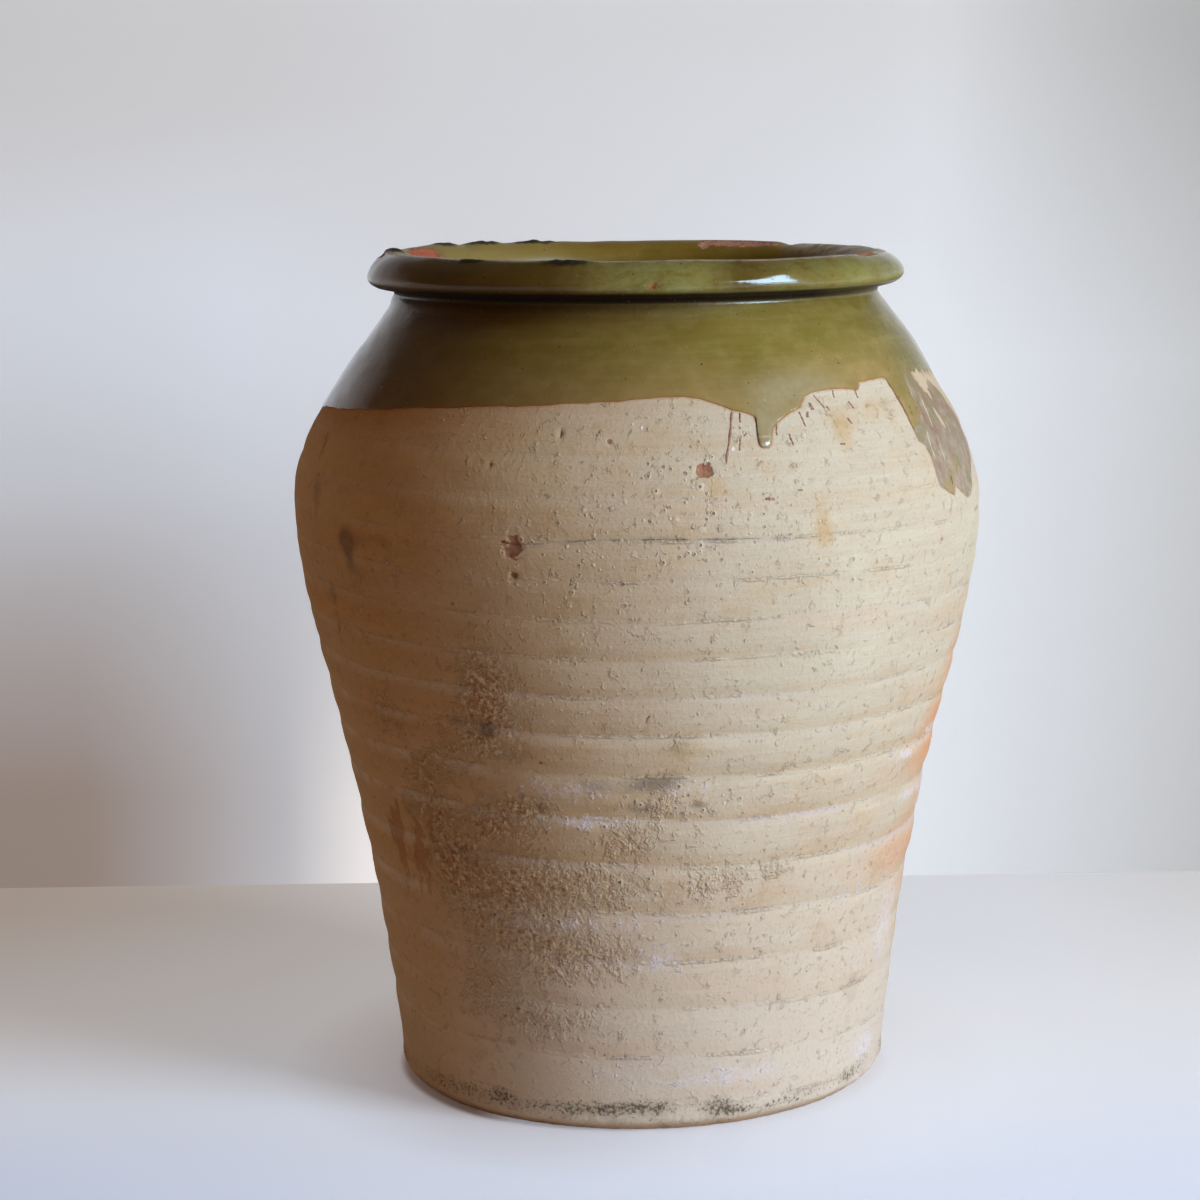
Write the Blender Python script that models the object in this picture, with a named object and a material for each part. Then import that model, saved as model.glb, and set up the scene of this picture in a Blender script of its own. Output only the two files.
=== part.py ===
# Confit pot: a tall, shouldered earthenware jar with a rolled rim and a glazed collar.
# It is put together as the potter puts it together: a floor disc, a lower wall standing on it,
# an upper wall luted on at the belly, a rolled rim, and the two coats of glaze.
# Lengths are in metres, +Z is up, and the origin is the middle of the flat underside.
import math

import bmesh
import bpy
import numpy as np

# Heights
POT_HEIGHT = 0.420            # table to the glazed crown of the rim
BELLY_HEIGHT = 0.296          # widest place, where the two walls are luted together
RIM_DEPTH = 0.0155            # crown of the rim down to the underside of its roll

# Outside radii
FOOT_RADIUS = 0.1200          # flat underside
FOOT_FLARE = 0.0052           # how far the wall stands out beyond the underside
BELLY_RADIUS = 0.1736
NECK_RADIUS = 0.1174          # where the line of the shoulder meets the roll's underside

# Shape of the flanks
FLANK_LEAN = math.radians(6.1)        # wall's outward lean at the foot
SHOULDER_SLOPE = math.radians(34.4)   # shoulder's lean from upright at the neck
FOOT_PULL = 0.65              # how long the lower flank keeps its lean, as a share of its rise
BELLY_PULL = 0.223            # how long the flank stays upright below the belly
SHOULDER_PULL = 0.32          # how long it stays upright above the belly
NECK_PULL = 0.498             # how long the shoulder keeps its slope below the neck

# Thicknesses and joints
WALL_THICKNESS = 0.009
FLOOR_THICKNESS = 0.016
FOOT_BEVEL_HEIGHT = 0.006     # worn bevel round the bottom edge
LEDGE_HEIGHT = 0.012          # ledge of the floor disc that carries the wall
LAP_DEPTH = 0.0045            # outer part of the wall that stops at the belly joint
LAP_HEIGHT = 0.008            # rise of the lower wall's tongue behind the joint
NECK_TONGUE_WIDTH = 0.004
NECK_TONGUE_HEIGHT = 0.005
CLEARANCE = 0.0003            # slip between pieces that touch

# Rolled rim
RIM_OVERHANG = 0.0162         # how far the roll stands out beyond the neck
ROLL_TURN = 0.0091            # width of the roll's rounded under edge
CROWN_INSET = 0.0110          # crown, inwards from the roll's widest line
ROLL_WIDEST_DEPTH = 0.0101    # crown down to the roll's widest line
ROLL_FULLNESS = 1.55          # 2 is an ellipse; less makes the roll's top slope flatter
GROOVE_RADIUS = 0.0035        # hollow corner between roll and shoulder

# Glaze
GLAZE_THICKNESS = 0.0007
GLAZE_REACH = 0.053           # underside of the roll down to the mean glaze line
GLAZE_DIP_TILT = math.radians(3.9)    # tilt at which the pot was dipped
GLAZE_DIP_AZIMUTH = 50.0      # degrees from the front towards +X, where the line is highest
# Runs below the line: azimuth in degrees, length and half width
GLAZE_RUNS = (
    (23.0, 0.0120, 0.0190),
    (21.3, 0.0130, 0.0038),
    (61.0, 0.0440, 0.0120),
)

# How far the pot strays from true
AXIS_LEAN = math.radians(0.46)        # pot's axis from upright, towards +X
RIM_TILT = math.radians(0.73)         # rim's plane from level, low towards +X

# Fineness of the meshes
COLUMNS = 48
GLAZE_LINE_STEP = 0.006       # most that the glaze line climbs between two columns
FLANK_STEPS = 7
INNER_STEPS = 4
SHOULDER_STEPS = 7
ROLL_STEPS = 4
GROOVE_STEPS = 2

# Places worked out from the sizes above
coat = CLEARANCE + GLAZE_THICKNESS
clay_top = POT_HEIGHT - coat
roll_bottom = clay_top - RIM_DEPTH
roll_widest = clay_top - ROLL_WIDEST_DEPTH
foot_edge_radius = FOOT_RADIUS + FOOT_FLARE
rim_radius = NECK_RADIUS + RIM_OVERHANG
crown_radius = rim_radius - CROWN_INSET
turn_radius = rim_radius - ROLL_TURN
tongue_top = roll_bottom + NECK_TONGUE_HEIGHT


def cubic(t, points):
    """Point and direction at t on the cubic curve with four control points."""
    p0, p1, p2, p3 = (np.asarray(p, float) for p in points)
    t = np.atleast_1d(np.asarray(t, float))[:, None]
    s = 1.0 - t
    place = s**3 * p0 + 3 * s**2 * t * p1 + 3 * s * t**2 * p2 + t**3 * p3
    direction = 3 * s**2 * (p1 - p0) + 6 * s * t * (p2 - p1) + 3 * t**2 * (p3 - p2)
    return place, direction


def flank_controls():
    """Control points of the two curves that make the flank, foot to belly and belly to neck."""
    foot = np.array([foot_edge_radius, LEDGE_HEIGHT])
    belly = np.array([BELLY_RADIUS, BELLY_HEIGHT])
    neck = np.array([NECK_RADIUS, roll_bottom])
    up = np.array([0.0, 1.0])
    lean = np.array([math.sin(FLANK_LEAN), math.cos(FLANK_LEAN)])
    slope = np.array([-math.sin(SHOULDER_SLOPE), math.cos(SHOULDER_SLOPE)])
    lower_rise = BELLY_HEIGHT - LEDGE_HEIGHT
    upper_rise = roll_bottom - BELLY_HEIGHT
    lower = (foot, foot + FOOT_PULL * lower_rise * lean, belly - BELLY_PULL * lower_rise * up, belly)
    upper = (belly, belly + SHOULDER_PULL * upper_rise * up, neck - NECK_PULL * upper_rise * slope, neck)
    return lower, upper


def flank(u, depth=0.0):
    """Points of the wall at u, 0 at the foot, 1 at the belly and 2 at the neck.

    depth is measured inwards, square to the outside surface.
    """
    u = np.atleast_1d(np.asarray(u, float))
    lower, upper = flank_controls()
    low_place, low_way = cubic(np.clip(u, 0.0, 1.0), lower)
    high_place, high_way = cubic(np.clip(u - 1.0, 0.0, 1.0), upper)
    below = (u <= 1.0)[:, None]
    place = np.where(below, low_place, high_place)
    way = np.where(below, low_way, high_way)
    way /= np.linalg.norm(way, axis=1)[:, None]
    outward = np.stack([way[:, 1], -way[:, 0]], axis=1)
    return place - depth * outward


def flank_at_height(height, depth=0.0):
    """The u at which the wall, at this depth, passes a height."""
    u = np.linspace(0.0, 2.0, 801)
    return np.interp(height, flank(u, depth)[:, 1], u)


def ellipse(centre, half_width, half_height, start, stop, steps, offset=0.0, fullness=2.0):
    """Points on an ellipse from one angle to another in degrees, moved outwards by offset.

    fullness is the exponent of the curve |x|^n + |y|^n = 1: 2 for an ellipse, less for flatter sides.
    """
    angle = np.radians(np.linspace(start, stop, steps + 1))
    circle = np.stack([np.cos(angle), np.sin(angle)], axis=1)
    across = np.sign(circle) * np.abs(circle) ** (2.0 / fullness)
    size = np.array([half_width, half_height])
    outward = np.sign(circle) * np.abs(across) ** (fullness - 1.0) / size
    outward /= np.linalg.norm(outward, axis=1)[:, None]
    return np.asarray(centre) + across * size + offset * outward


def groove(offset=0.0):
    """The hollow corner below the roll, from the roll's underside round to the shoulder.

    It returns the corner's points, moved outwards by offset, and the u where it meets the shoulder.
    """
    centre_height = roll_bottom - GROOVE_RADIUS
    meet = flank_at_height(centre_height, -GROOVE_RADIUS)
    centre = flank(meet, -GROOVE_RADIUS)[0]
    tangent = flank(meet)[0] - centre
    stop = math.degrees(math.atan2(tangent[1], tangent[0])) % 360.0
    radius = GROOVE_RADIUS - offset
    return ellipse(centre, radius, radius, 90.0, stop, GROOVE_STEPS), float(meet)


def mouth_radius():
    """Inside radius at the neck, where the wall's inner face ends."""
    return flank(2.0, WALL_THICKNESS)[0][0]


def clay_columns():
    """Azimuth of each column of the clay pieces, in degrees."""
    return np.arange(COLUMNS) * 360.0 / COLUMNS


def glaze_columns():
    """The clay's columns, with more between them wherever the glaze line is steep."""
    azimuth = np.union1d(clay_columns(), [run[0] for run in GLAZE_RUNS])
    while True:
        line = glaze_line(azimuth)
        steep = np.abs(np.roll(line, -1) - line) > GLAZE_LINE_STEP
        if not steep.any():
            return azimuth
        gap = (np.roll(azimuth, -1) - azimuth) % 360.0
        azimuth = np.union1d(azimuth, (azimuth + gap / 2)[steep] % 360.0)


def glaze_line(azimuth):
    """Height of the collar's lower edge at each azimuth."""
    mean = roll_bottom - GLAZE_REACH
    around = np.radians(azimuth - GLAZE_DIP_AZIMUTH)
    radius = flank(flank_at_height(mean))[0][0]
    height = mean + math.tan(GLAZE_DIP_TILT) * radius * np.cos(around)
    for centre, length, half_width in GLAZE_RUNS:
        away = np.radians((azimuth - centre + 180.0) % 360.0 - 180.0) * radius
        height = height - length * np.exp(-np.abs(away / half_width) ** 3)
    return height


def settle(points):
    """Lean the pot's axis and tilt its rim, leaving the underside flat on the table."""
    x, y, z = points[..., 0], points[..., 1], points[..., 2]
    tilted = z - math.tan(RIM_TILT) * z / POT_HEIGHT * x
    leaned = x + math.tan(AXIS_LEAN) * (z - BELLY_HEIGHT)
    return np.stack([leaned, y, tilted], axis=-1)


def turned(outline, azimuth):
    """Rings of points from an outline of radius and height, one outline or one for each column."""
    outline = np.asarray(outline, float)
    if outline.ndim == 2:
        outline = np.repeat(outline[:, None, :], len(azimuth), axis=1)
    around = np.radians(azimuth)[None, :]
    radius, height = outline[..., 0], outline[..., 1]
    return np.stack([radius * np.sin(around), -radius * np.cos(around), height], axis=-1)


def material(name, colour, roughness):
    """A plain Principled material."""
    made = bpy.data.materials.new(name)
    made.use_nodes = True
    shader = made.node_tree.nodes["Principled BSDF"]
    shader.inputs["Base Color"].default_value = (*colour, 1.0)
    shader.inputs["Roughness"].default_value = roughness
    shader.inputs["Metallic"].default_value = 0.0
    return made


def solid(name, rings, closed, finish):
    """A closed body from rings of points.

    A closed outline joins its last ring to its first; an open one is capped with flat discs.
    """
    count, columns = rings.shape[:2]
    mesh = bpy.data.meshes.new(name)
    work = bmesh.new()
    points = settle(rings).reshape(-1, 3)
    corners = [work.verts.new(point) for point in points]
    bands = count if closed else count - 1
    for band in range(bands):
        here = band * columns
        there = (band + 1) % count * columns
        for column in range(columns):
            beside = (column + 1) % columns
            face = (here + column, here + beside, there + beside, there + column)
            work.faces.new([corners[index] for index in face])
    if not closed:
        work.faces.new(corners[:columns])
        work.faces.new(corners[-columns:])
    bmesh.ops.recalc_face_normals(work, faces=work.faces)
    work.to_mesh(mesh)
    work.free()
    mesh.shade_smooth()
    mesh.set_sharp_from_angle(angle=math.radians(40))
    mesh.materials.append(finish)
    made = bpy.data.objects.new(name, mesh)
    bpy.context.scene.collection.objects.link(made)
    return made


def floor_disc(azimuth, finish):
    """Beaten slab with a bevelled edge, a ledge for the wall and a plug that centres it."""
    plug_radius = flank(0.0, WALL_THICKNESS)[0][0] - CLEARANCE
    outline = [
        (FOOT_RADIUS, 0.0),
        (foot_edge_radius, FOOT_BEVEL_HEIGHT),
        (foot_edge_radius, LEDGE_HEIGHT),
        (plug_radius, LEDGE_HEIGHT),
        (plug_radius, FLOOR_THICKNESS),
    ]
    return solid("floor_disc", turned(outline, azimuth), False, finish)


def lower_wall(azimuth, finish):
    """Thrown wall from the floor to the belly, with a tongue on its inner half."""
    tongue = flank_at_height(BELLY_HEIGHT + LAP_HEIGHT)
    outside = flank(np.linspace(0.0, 1.0, FLANK_STEPS + 1))
    outside[0] = (foot_edge_radius, LEDGE_HEIGHT + CLEARANCE)
    joint = [flank(1.0, LAP_DEPTH)[0], flank(tongue, LAP_DEPTH)[0]]
    inside = flank(np.linspace(tongue, 0.0, INNER_STEPS + 1), WALL_THICKNESS)
    bottom = [(inside[-1][0], LEDGE_HEIGHT + CLEARANCE)]
    outline = np.vstack([outside, joint, inside, bottom])
    return solid("lower_wall", turned(outline, azimuth), True, finish)


def upper_wall(azimuth, finish):
    """Thrown shoulder that laps over the tongue and carries the rim on a tongue of its own."""
    tongue = flank_at_height(BELLY_HEIGHT + LAP_HEIGHT)
    lift = np.array([0.0, CLEARANCE])
    corner, meet = groove()
    outside = flank(np.linspace(1.0, meet, SHOULDER_STEPS + 1))
    outside[0] += lift
    mouth = mouth_radius()
    neck = [
        (mouth + NECK_TONGUE_WIDTH, roll_bottom),
        (mouth + NECK_TONGUE_WIDTH, tongue_top),
        (mouth, tongue_top),
    ]
    inside = flank(np.linspace(2.0, tongue, INNER_STEPS + 1), WALL_THICKNESS)
    inside[-1] += lift
    lap = [
        flank(tongue, LAP_DEPTH - CLEARANCE)[0] + lift,
        flank(1.0, LAP_DEPTH - CLEARANCE)[0] + lift,
    ]
    outline = np.vstack([outside[:-1], corner[::-1], neck, inside, lap])
    return solid("upper_wall", turned(outline, azimuth), True, finish)


def crown_arcs(offset=0.0):
    """The roll from its crown out to the widest line and under, as two quarter curves."""
    over = ellipse((crown_radius, roll_widest), rim_radius - crown_radius,
                   clay_top - roll_widest, 90.0, 0.0, ROLL_STEPS, offset, ROLL_FULLNESS)
    under = ellipse((turn_radius, roll_widest), rim_radius - turn_radius,
                    roll_widest - roll_bottom - CLEARANCE, 0.0, -90.0, ROLL_STEPS, offset)
    return np.vstack([over, under[1:]])


def inner_lip(offset=0.0):
    """The rim's inner slope, from the mouth up to the crown."""
    start = tongue_top + CLEARANCE
    return ellipse((crown_radius, start), crown_radius - mouth_radius(), clay_top - start,
                   180.0, 90.0, ROLL_STEPS, offset)


def rolled_rim(azimuth, finish):
    """Rim of clay folded outwards into a roll, seated on the neck."""
    seat_radius = mouth_radius() + NECK_TONGUE_WIDTH + CLEARANCE
    seat = [
        (seat_radius, roll_bottom + CLEARANCE),
        (seat_radius, tongue_top + CLEARANCE),
    ]
    outline = np.vstack([crown_arcs(), seat, inner_lip()[:-1]])
    return solid("rolled_rim", turned(outline, azimuth), True, finish)


def collar_side(azimuth, offset):
    """One side of the outer glaze, crown to glaze line, with an outline for each column."""
    roll = crown_arcs(offset)
    corner, meet = groove(offset)
    fixed = np.vstack([roll, corner])
    line = flank_at_height(glaze_line(azimuth))
    share = np.linspace(0.0, 1.0, SHOULDER_STEPS + 1)[1:]
    columns = []
    for stop in line:
        shoulder = flank(meet + (stop - meet) * share, -offset)
        columns.append(np.vstack([fixed, shoulder]))
    return np.stack(columns, axis=1)


def outer_glaze(azimuth, finish):
    """Coat over the roll and shoulder, ending in the dipped line and its runs."""
    under = collar_side(azimuth, CLEARANCE)
    over = collar_side(azimuth, coat)
    rings = np.concatenate([turned(over, azimuth), turned(under, azimuth)[::-1]])
    return solid("outer_glaze", rings, True, finish)


def lining_side(offset):
    """One side of the inner glaze, from the floor up the wall and over to the crown."""
    tongue = flank_at_height(BELLY_HEIGHT + LAP_HEIGHT)
    depth = WALL_THICKNESS + offset
    floor = FLOOR_THICKNESS + offset
    lower = flank(np.linspace(0.0, tongue, INNER_STEPS + 1), depth)[1:]
    upper = flank(np.linspace(tongue, 2.0, INNER_STEPS + 1), depth)[1:]
    corner = flank(flank_at_height(floor, depth), depth)
    lip = inner_lip(offset)
    lip[:, 0] = np.minimum(lip[:, 0], crown_radius - CLEARANCE)
    return np.vstack([corner, lower, upper, lip])


def inner_glaze(azimuth, finish):
    """Lining of the whole inside."""
    outline = np.vstack([lining_side(CLEARANCE), lining_side(coat)[::-1]])
    return solid("inner_glaze", turned(outline, azimuth), False, finish)


def build():
    """Clear the scene and make every piece of the pot."""
    for old in list(bpy.data.objects):
        bpy.data.objects.remove(old)
    azimuth = clay_columns()
    floor_disc(azimuth, material("foot earthenware", (0.42, 0.29, 0.17), 0.9))
    lower_wall(azimuth, material("bare earthenware", (0.55, 0.42, 0.26), 0.85))
    upper_wall(azimuth, material("buff earthenware", (0.61, 0.49, 0.32), 0.85))
    rolled_rim(azimuth, material("rim earthenware", (0.47, 0.23, 0.14), 0.85))
    outer_glaze(glaze_columns(), material("olive lead glaze", (0.14, 0.12, 0.03), 0.15))
    inner_glaze(azimuth, material("ochre lead glaze", (0.25, 0.17, 0.05), 0.2))


build()
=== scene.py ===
import math

import bpy
import numpy as np
from mathutils import Matrix


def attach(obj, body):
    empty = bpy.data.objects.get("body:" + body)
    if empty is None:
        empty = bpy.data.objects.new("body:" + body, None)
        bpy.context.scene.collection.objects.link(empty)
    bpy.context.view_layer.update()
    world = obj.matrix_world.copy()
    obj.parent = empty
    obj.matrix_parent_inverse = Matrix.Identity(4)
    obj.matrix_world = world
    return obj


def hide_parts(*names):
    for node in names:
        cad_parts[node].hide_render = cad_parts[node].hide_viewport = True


# An old confit pot: thrown buff earthenware with an olive lead glaze over rim and shoulder.
# Lengths are in metres. Azimuths are in degrees from the front (-Y) towards +X.

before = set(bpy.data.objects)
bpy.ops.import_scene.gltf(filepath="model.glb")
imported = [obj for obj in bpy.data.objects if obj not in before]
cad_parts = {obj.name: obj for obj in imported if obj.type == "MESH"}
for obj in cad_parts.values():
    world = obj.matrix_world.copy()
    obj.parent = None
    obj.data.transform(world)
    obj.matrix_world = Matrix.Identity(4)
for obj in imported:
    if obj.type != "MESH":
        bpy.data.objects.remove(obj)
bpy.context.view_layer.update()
print("frame loaded:", ", ".join(sorted(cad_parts)))


# Sizes

# The same sizes as the CAD model's
pot = {
    "height": 0.420,
    "bellyHeight": 0.296,
    "rimDepth": 0.0155,
    "footRadius": 0.1200,
    "footFlare": 0.0052,
    "bellyRadius": 0.1736,
    "neckRadius": 0.1174,
    "flankLean": 6.1,
    "shoulderSlope": 34.4,
    "footPull": 0.65,
    "bellyPull": 0.223,
    "shoulderPull": 0.32,
    "neckPull": 0.498,
    "wall": 0.009,
    "floor": 0.016,
    "ledge": 0.012,
    "lapDepth": 0.0045,
    "lapHeight": 0.008,
    "tongueWidth": 0.004,
    "tongueHeight": 0.005,
    "slip": 0.0003,
    "glaze": 0.0007,
    "rimOverhang": 0.0162,
    "rollTurn": 0.0091,
    "crownInset": 0.0110,
    "rollWidest": 0.0101,
    "rollFullness": 1.55,
    "cornerRadius": 0.0035,
    "axisLean": 0.46,
    "rimTilt": 0.73,
}
clayTop = pot["height"] - pot["slip"] - pot["glaze"]
rollBottom = clayTop - pot["rimDepth"]
rollWidest = clayTop - pot["rollWidest"]
footEdge = pot["footRadius"] + pot["footFlare"]
rimRadius = pot["neckRadius"] + pot["rimOverhang"]
crownRadius = rimRadius - pot["crownInset"]
turnRadius = rimRadius - pot["rollTurn"]
tongueTop = rollBottom + pot["tongueHeight"]


# Shapes

# Smooth step from 0 at low to 1 at high
def smooth(low, high, value):
    share = np.clip((value - low) / (high - low), 0.0, 1.0)
    return share * share * (3.0 - 2.0 * share)


# Cubic curve at t from 0 to 1 with four control points, and its direction
def curveAt(t, points):
    p0, p1, p2, p3 = (np.asarray(p, float) for p in points)
    t = t[:, None]
    s = 1.0 - t
    place = s**3 * p0 + 3 * s**2 * t * p1 + 3 * s * t**2 * p2 + t**3 * p3
    return place, 3 * s**2 * (p1 - p0) + 6 * s * t * (p2 - p1) + 3 * t**2 * (p3 - p2)


# Table of the flank: u, radius, height and outward direction, on two cubic curves that meet upright at the
# belly
def flankTable():
    foot = np.array([footEdge, pot["ledge"]])
    belly = np.array([pot["bellyRadius"], pot["bellyHeight"]])
    neck = np.array([pot["neckRadius"], rollBottom])
    lean = np.radians(pot["flankLean"])
    slope = np.radians(pot["shoulderSlope"])
    lowerRise = pot["bellyHeight"] - pot["ledge"]
    upperRise = rollBottom - pot["bellyHeight"]
    up = np.array([0.0, 1.0])
    leaning = np.array([np.sin(lean), np.cos(lean)])
    sloping = np.array([-np.sin(slope), np.cos(slope)])
    lower = (foot, foot + pot["footPull"] * lowerRise * leaning,
             belly - pot["bellyPull"] * lowerRise * up, belly)
    upper = (belly, belly + pot["shoulderPull"] * upperRise * up,
             neck - pot["neckPull"] * upperRise * sloping, neck)
    t = np.linspace(0.0, 1.0, 1501)
    lowPlace, lowWay = curveAt(t, lower)
    highPlace, highWay = curveAt(t[1:], upper)
    place = np.vstack([lowPlace, highPlace])
    way = np.vstack([lowWay, highWay])
    way /= np.linalg.norm(way, axis=1)[:, None]
    u = np.concatenate([t, 1.0 + t[1:]])
    return np.column_stack([u, place, way[:, 1], -way[:, 0]])


flank = flankTable()


# Radius, height and outward direction of the wall at u (0 foot, 1 belly, 2 neck), moved inwards by depth
def wallAt(u, depth=0.0):
    radius, height, outR, outZ = (np.interp(u, flank[:, 0], flank[:, k]) for k in (1, 2, 3, 4))
    return radius - depth * outR, height - depth * outZ, outR, outZ


# u where the wall, at a depth inside its outside face, passes a height
def uAtHeight(height, depth=0.0):
    return np.interp(height, flank[:, 2] - depth * flank[:, 4], flank[:, 0])


# Points at a radius, height and azimuth, with the axis leaned and the rim tilted as in the CAD; the roll
# hangs a little lower on the left
def turned(radius, height, azimuth):
    around = np.radians(azimuth)
    x = radius * np.sin(around)
    y = -radius * np.cos(around)
    sway = np.interp(height, [rollBottom - 0.0115, rollBottom, rollWidest, clayTop],
                     [0.0, 0.0008, 0.0012, 0.0])
    height = height + sway * np.sin(around)
    tilted = height - math.tan(math.radians(pot["rimTilt"])) * height / pot["height"] * x
    leaned = x + math.tan(math.radians(pot["axisLean"])) * (height - pot["bellyHeight"])
    return np.stack(np.broadcast_arrays(leaned, y, tilted), axis=-1)


# Points on the curve |x|^n + |z|^n = 1 between two angles in degrees, with the outward direction: an ellipse
# for a fullness n of 2, with flatter sides for less
def ellipse(centreR, centreZ, halfWidth, halfHeight, start, stop, steps, fullness=2.0):
    angle = np.radians(np.linspace(start, stop, steps + 1))
    x, z = (np.sign(v) * np.abs(v) ** (2.0 / fullness) for v in (np.cos(angle), np.sin(angle)))
    outR, outZ = (np.sign(v) * np.abs(v) ** (fullness - 1.0) / half
                  for v, half in ((x, halfWidth), (z, halfHeight)))
    size = np.hypot(outR, outZ)
    return centreR + halfWidth * x, centreZ + halfHeight * z, outR / size, outZ / size


# Smooth noise, about -1 to 1: the mean of cosine waves in seeded random directions
def ripple(points, size, seed, waves=16):
    draw = np.random.default_rng(seed)
    way = draw.normal(size=(waves, 3))
    way /= np.linalg.norm(way, axis=1)[:, None]
    way *= draw.uniform(0.6, 1.5, waves)[:, None] * 2.0 * np.pi / size
    start = draw.uniform(0.0, 2.0 * np.pi, waves)
    total = np.zeros(points.shape[:-1])
    for k in range(waves):
        total += np.cos(points @ way[k] + start[k])
    return total / math.sqrt(1.6 * waves)


# Azimuths round the pot, closer together where a patch (centre, half width, extra weight) asks for it
def columnsRound(count, patches):
    fine = np.linspace(-180.0, 180.0, 7201)
    weight = np.ones_like(fine)
    for centre, half, extra in patches:
        weight += extra * np.exp(-np.abs((fine - centre) / half) ** 6)
    total = np.concatenate([[0.0], np.cumsum((weight[1:] + weight[:-1]) / 2.0)])
    return np.interp(np.arange(count) / count, total / total[-1], fine)


# Soft oval spot on the wall: 1 in the middle, falling to 0.37 at the half sizes
def spot(azimuth, height, radius, centre, level, across, up):
    away = np.radians((azimuth - centre + 180.0) % 360.0 - 180.0) * radius
    return np.exp(-(away / across) ** 2 - ((height - level) / up) ** 2)


# Like spot, but 1 in the middle, 0 on the oval's edge and below 0 outside it
def oval(azimuth, height, radius, centre, level, across, up):
    away = np.radians((azimuth - centre + 180.0) % 360.0 - 180.0) * radius
    return 1.0 - np.hypot(away / across, (height - level) / up)


# Rows of azimuth, lengths in millimetres and a strength, with the lengths turned into metres
def metres(rows, lengths=3):
    return [(row[0], *(value / 1000.0 for value in row[1:lengths + 1]), *row[lengths + 1:]) for row in rows]


# Glaze line

glazeLine = {
    "reach": 0.053,          # underside of the roll down to the mean line
    "dipTilt": 3.9,          # the pot was dipped upside down at this tilt
    "dipAzimuth": 50.0,
    "swell": (0.0013, -38.0, 42.0),
    # Azimuth and height in millimetres of its corners where the glaze ran: the drip, the step, the drag
    "runs": (
        (8.4, 358.9), (11.2, 357.9), (12.8, 356.4), (15, 354.6), (16.4, 352.8), (19.2, 351.2),
        (20.2, 349.9), (20.6, 347.6), (20.66, 341), (20.7, 338.6), (20.9, 337), (21.3, 336.1),
        (21.9, 335.8), (22.5, 336.1), (22.95, 337.1), (23.15, 338.8), (23.3, 341.5), (23.6, 344),
        (24.3, 346.4), (25.4, 348), (27.6, 350.9), (29.6, 352.5), (30.2, 354.6), (31.2, 357.2),
        (33.2, 358.7), (37.2, 359.7), (41, 359.3), (44.3, 358.3), (45.3, 361.5), (49, 361.9), (53, 362.5),
        (53.9, 361.8), (54.3, 356), (54.6, 350), (54.7, 338), (55, 333), (56.6, 330.4), (57, 325.4),
        (57.2, 316), (57.8, 310.6), (60.4, 306.9), (62.4, 304.8), (63.8, 309.6), (65.2, 306.2),
        (68.6, 301.6), (70.6, 301.9), (72.8, 306), (76.8, 315), (80, 319), (83, 324), (87, 340),
        (92, 358.6), (98, 361),
    ),
}


# Height of the glaze's lower edge: a tilted plane's cut with a slow swell, and the measured runs in front
def glazeEdge(azimuth):
    mean = rollBottom - glazeLine["reach"]
    radius = wallAt(uAtHeight(mean))[0]
    tilt = math.tan(math.radians(glazeLine["dipTilt"])) * radius
    rise, centre, half = glazeLine["swell"]
    height = mean + tilt * np.cos(np.radians(azimuth - glazeLine["dipAzimuth"]))
    height = height + rise * np.exp(-((azimuth - centre) / half) ** 2)
    around = np.radians(azimuth)
    wobble = np.sin(9 * around + 1.0) + 0.6 * np.sin(23 * around) + 0.4 * np.sin(61 * around + 2.0)
    height = height + 0.0003 * wobble
    runs = np.array(glazeLine["runs"])
    measured = np.interp(azimuth, runs[:, 0], runs[:, 1] / 1000.0)
    share = smooth(4.0, 8.4, azimuth) * (1.0 - smooth(92.0, 98.0, azimuth))
    return height + (measured - height) * share


# Degrees by which the drip leans to the left as it runs down, for the line's azimuth and a height
def dripLean(azimuth, height):
    return 0.06 * np.clip(350.0 - height * 1000.0, 0.0, 15.0) * np.exp(-((azimuth - 21.8) / 2.6) ** 4)


# Shortest distance along the wall to the glaze's edge, negative on the glazed side
def awayFromGlaze(azimuth, height, radius):
    azimuth = azimuth + dripLean(azimuth, height)
    lineAzimuth = columnsRound(1500, ((45.0, 42.0, 3.0), (21.5, 2.6, 12.0), (56.0, 2.5, 12.0),
                                      (72.3, 1.5, 10.0)))
    lineHeight = glazeEdge(lineAzimuth)
    away = np.full(azimuth.shape, 0.05)
    near = (height > 0.285) & (height < 0.40)
    places = np.column_stack([azimuth[near], height[near], radius[near]])
    found = []
    for part in np.array_split(places, max(1, len(places) // 2000)):
        across = (part[:, :1] - lineAzimuth[None, :] + 180.0) % 360.0 - 180.0
        up = (part[:, 1:2] - lineHeight[None, :]) * 1.12
        found.append(np.sqrt((np.radians(across) * part[:, 2:]) ** 2 + up**2).min(axis=1))
    if found:
        away[near] = np.minimum(np.concatenate(found), 0.05)
    return np.where(height > glazeEdge(azimuth), -away, away)


# Clay surface

thrown = {
    "firstGroove": 0.3149,
    "pitchHigh": 0.0185,     # a finger's width between grooves above the taper
    "pitchLow": 0.0247,
    "taper": (0.13, 0.22),   # heights between which the pitch changes
    "skew": 0.09,            # how far, in turns, the rings' plane is off
    "depthHigh": 0.00028,
    "depthLow": 0.00105,
    "outOfRound": 0.0006,
}

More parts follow.
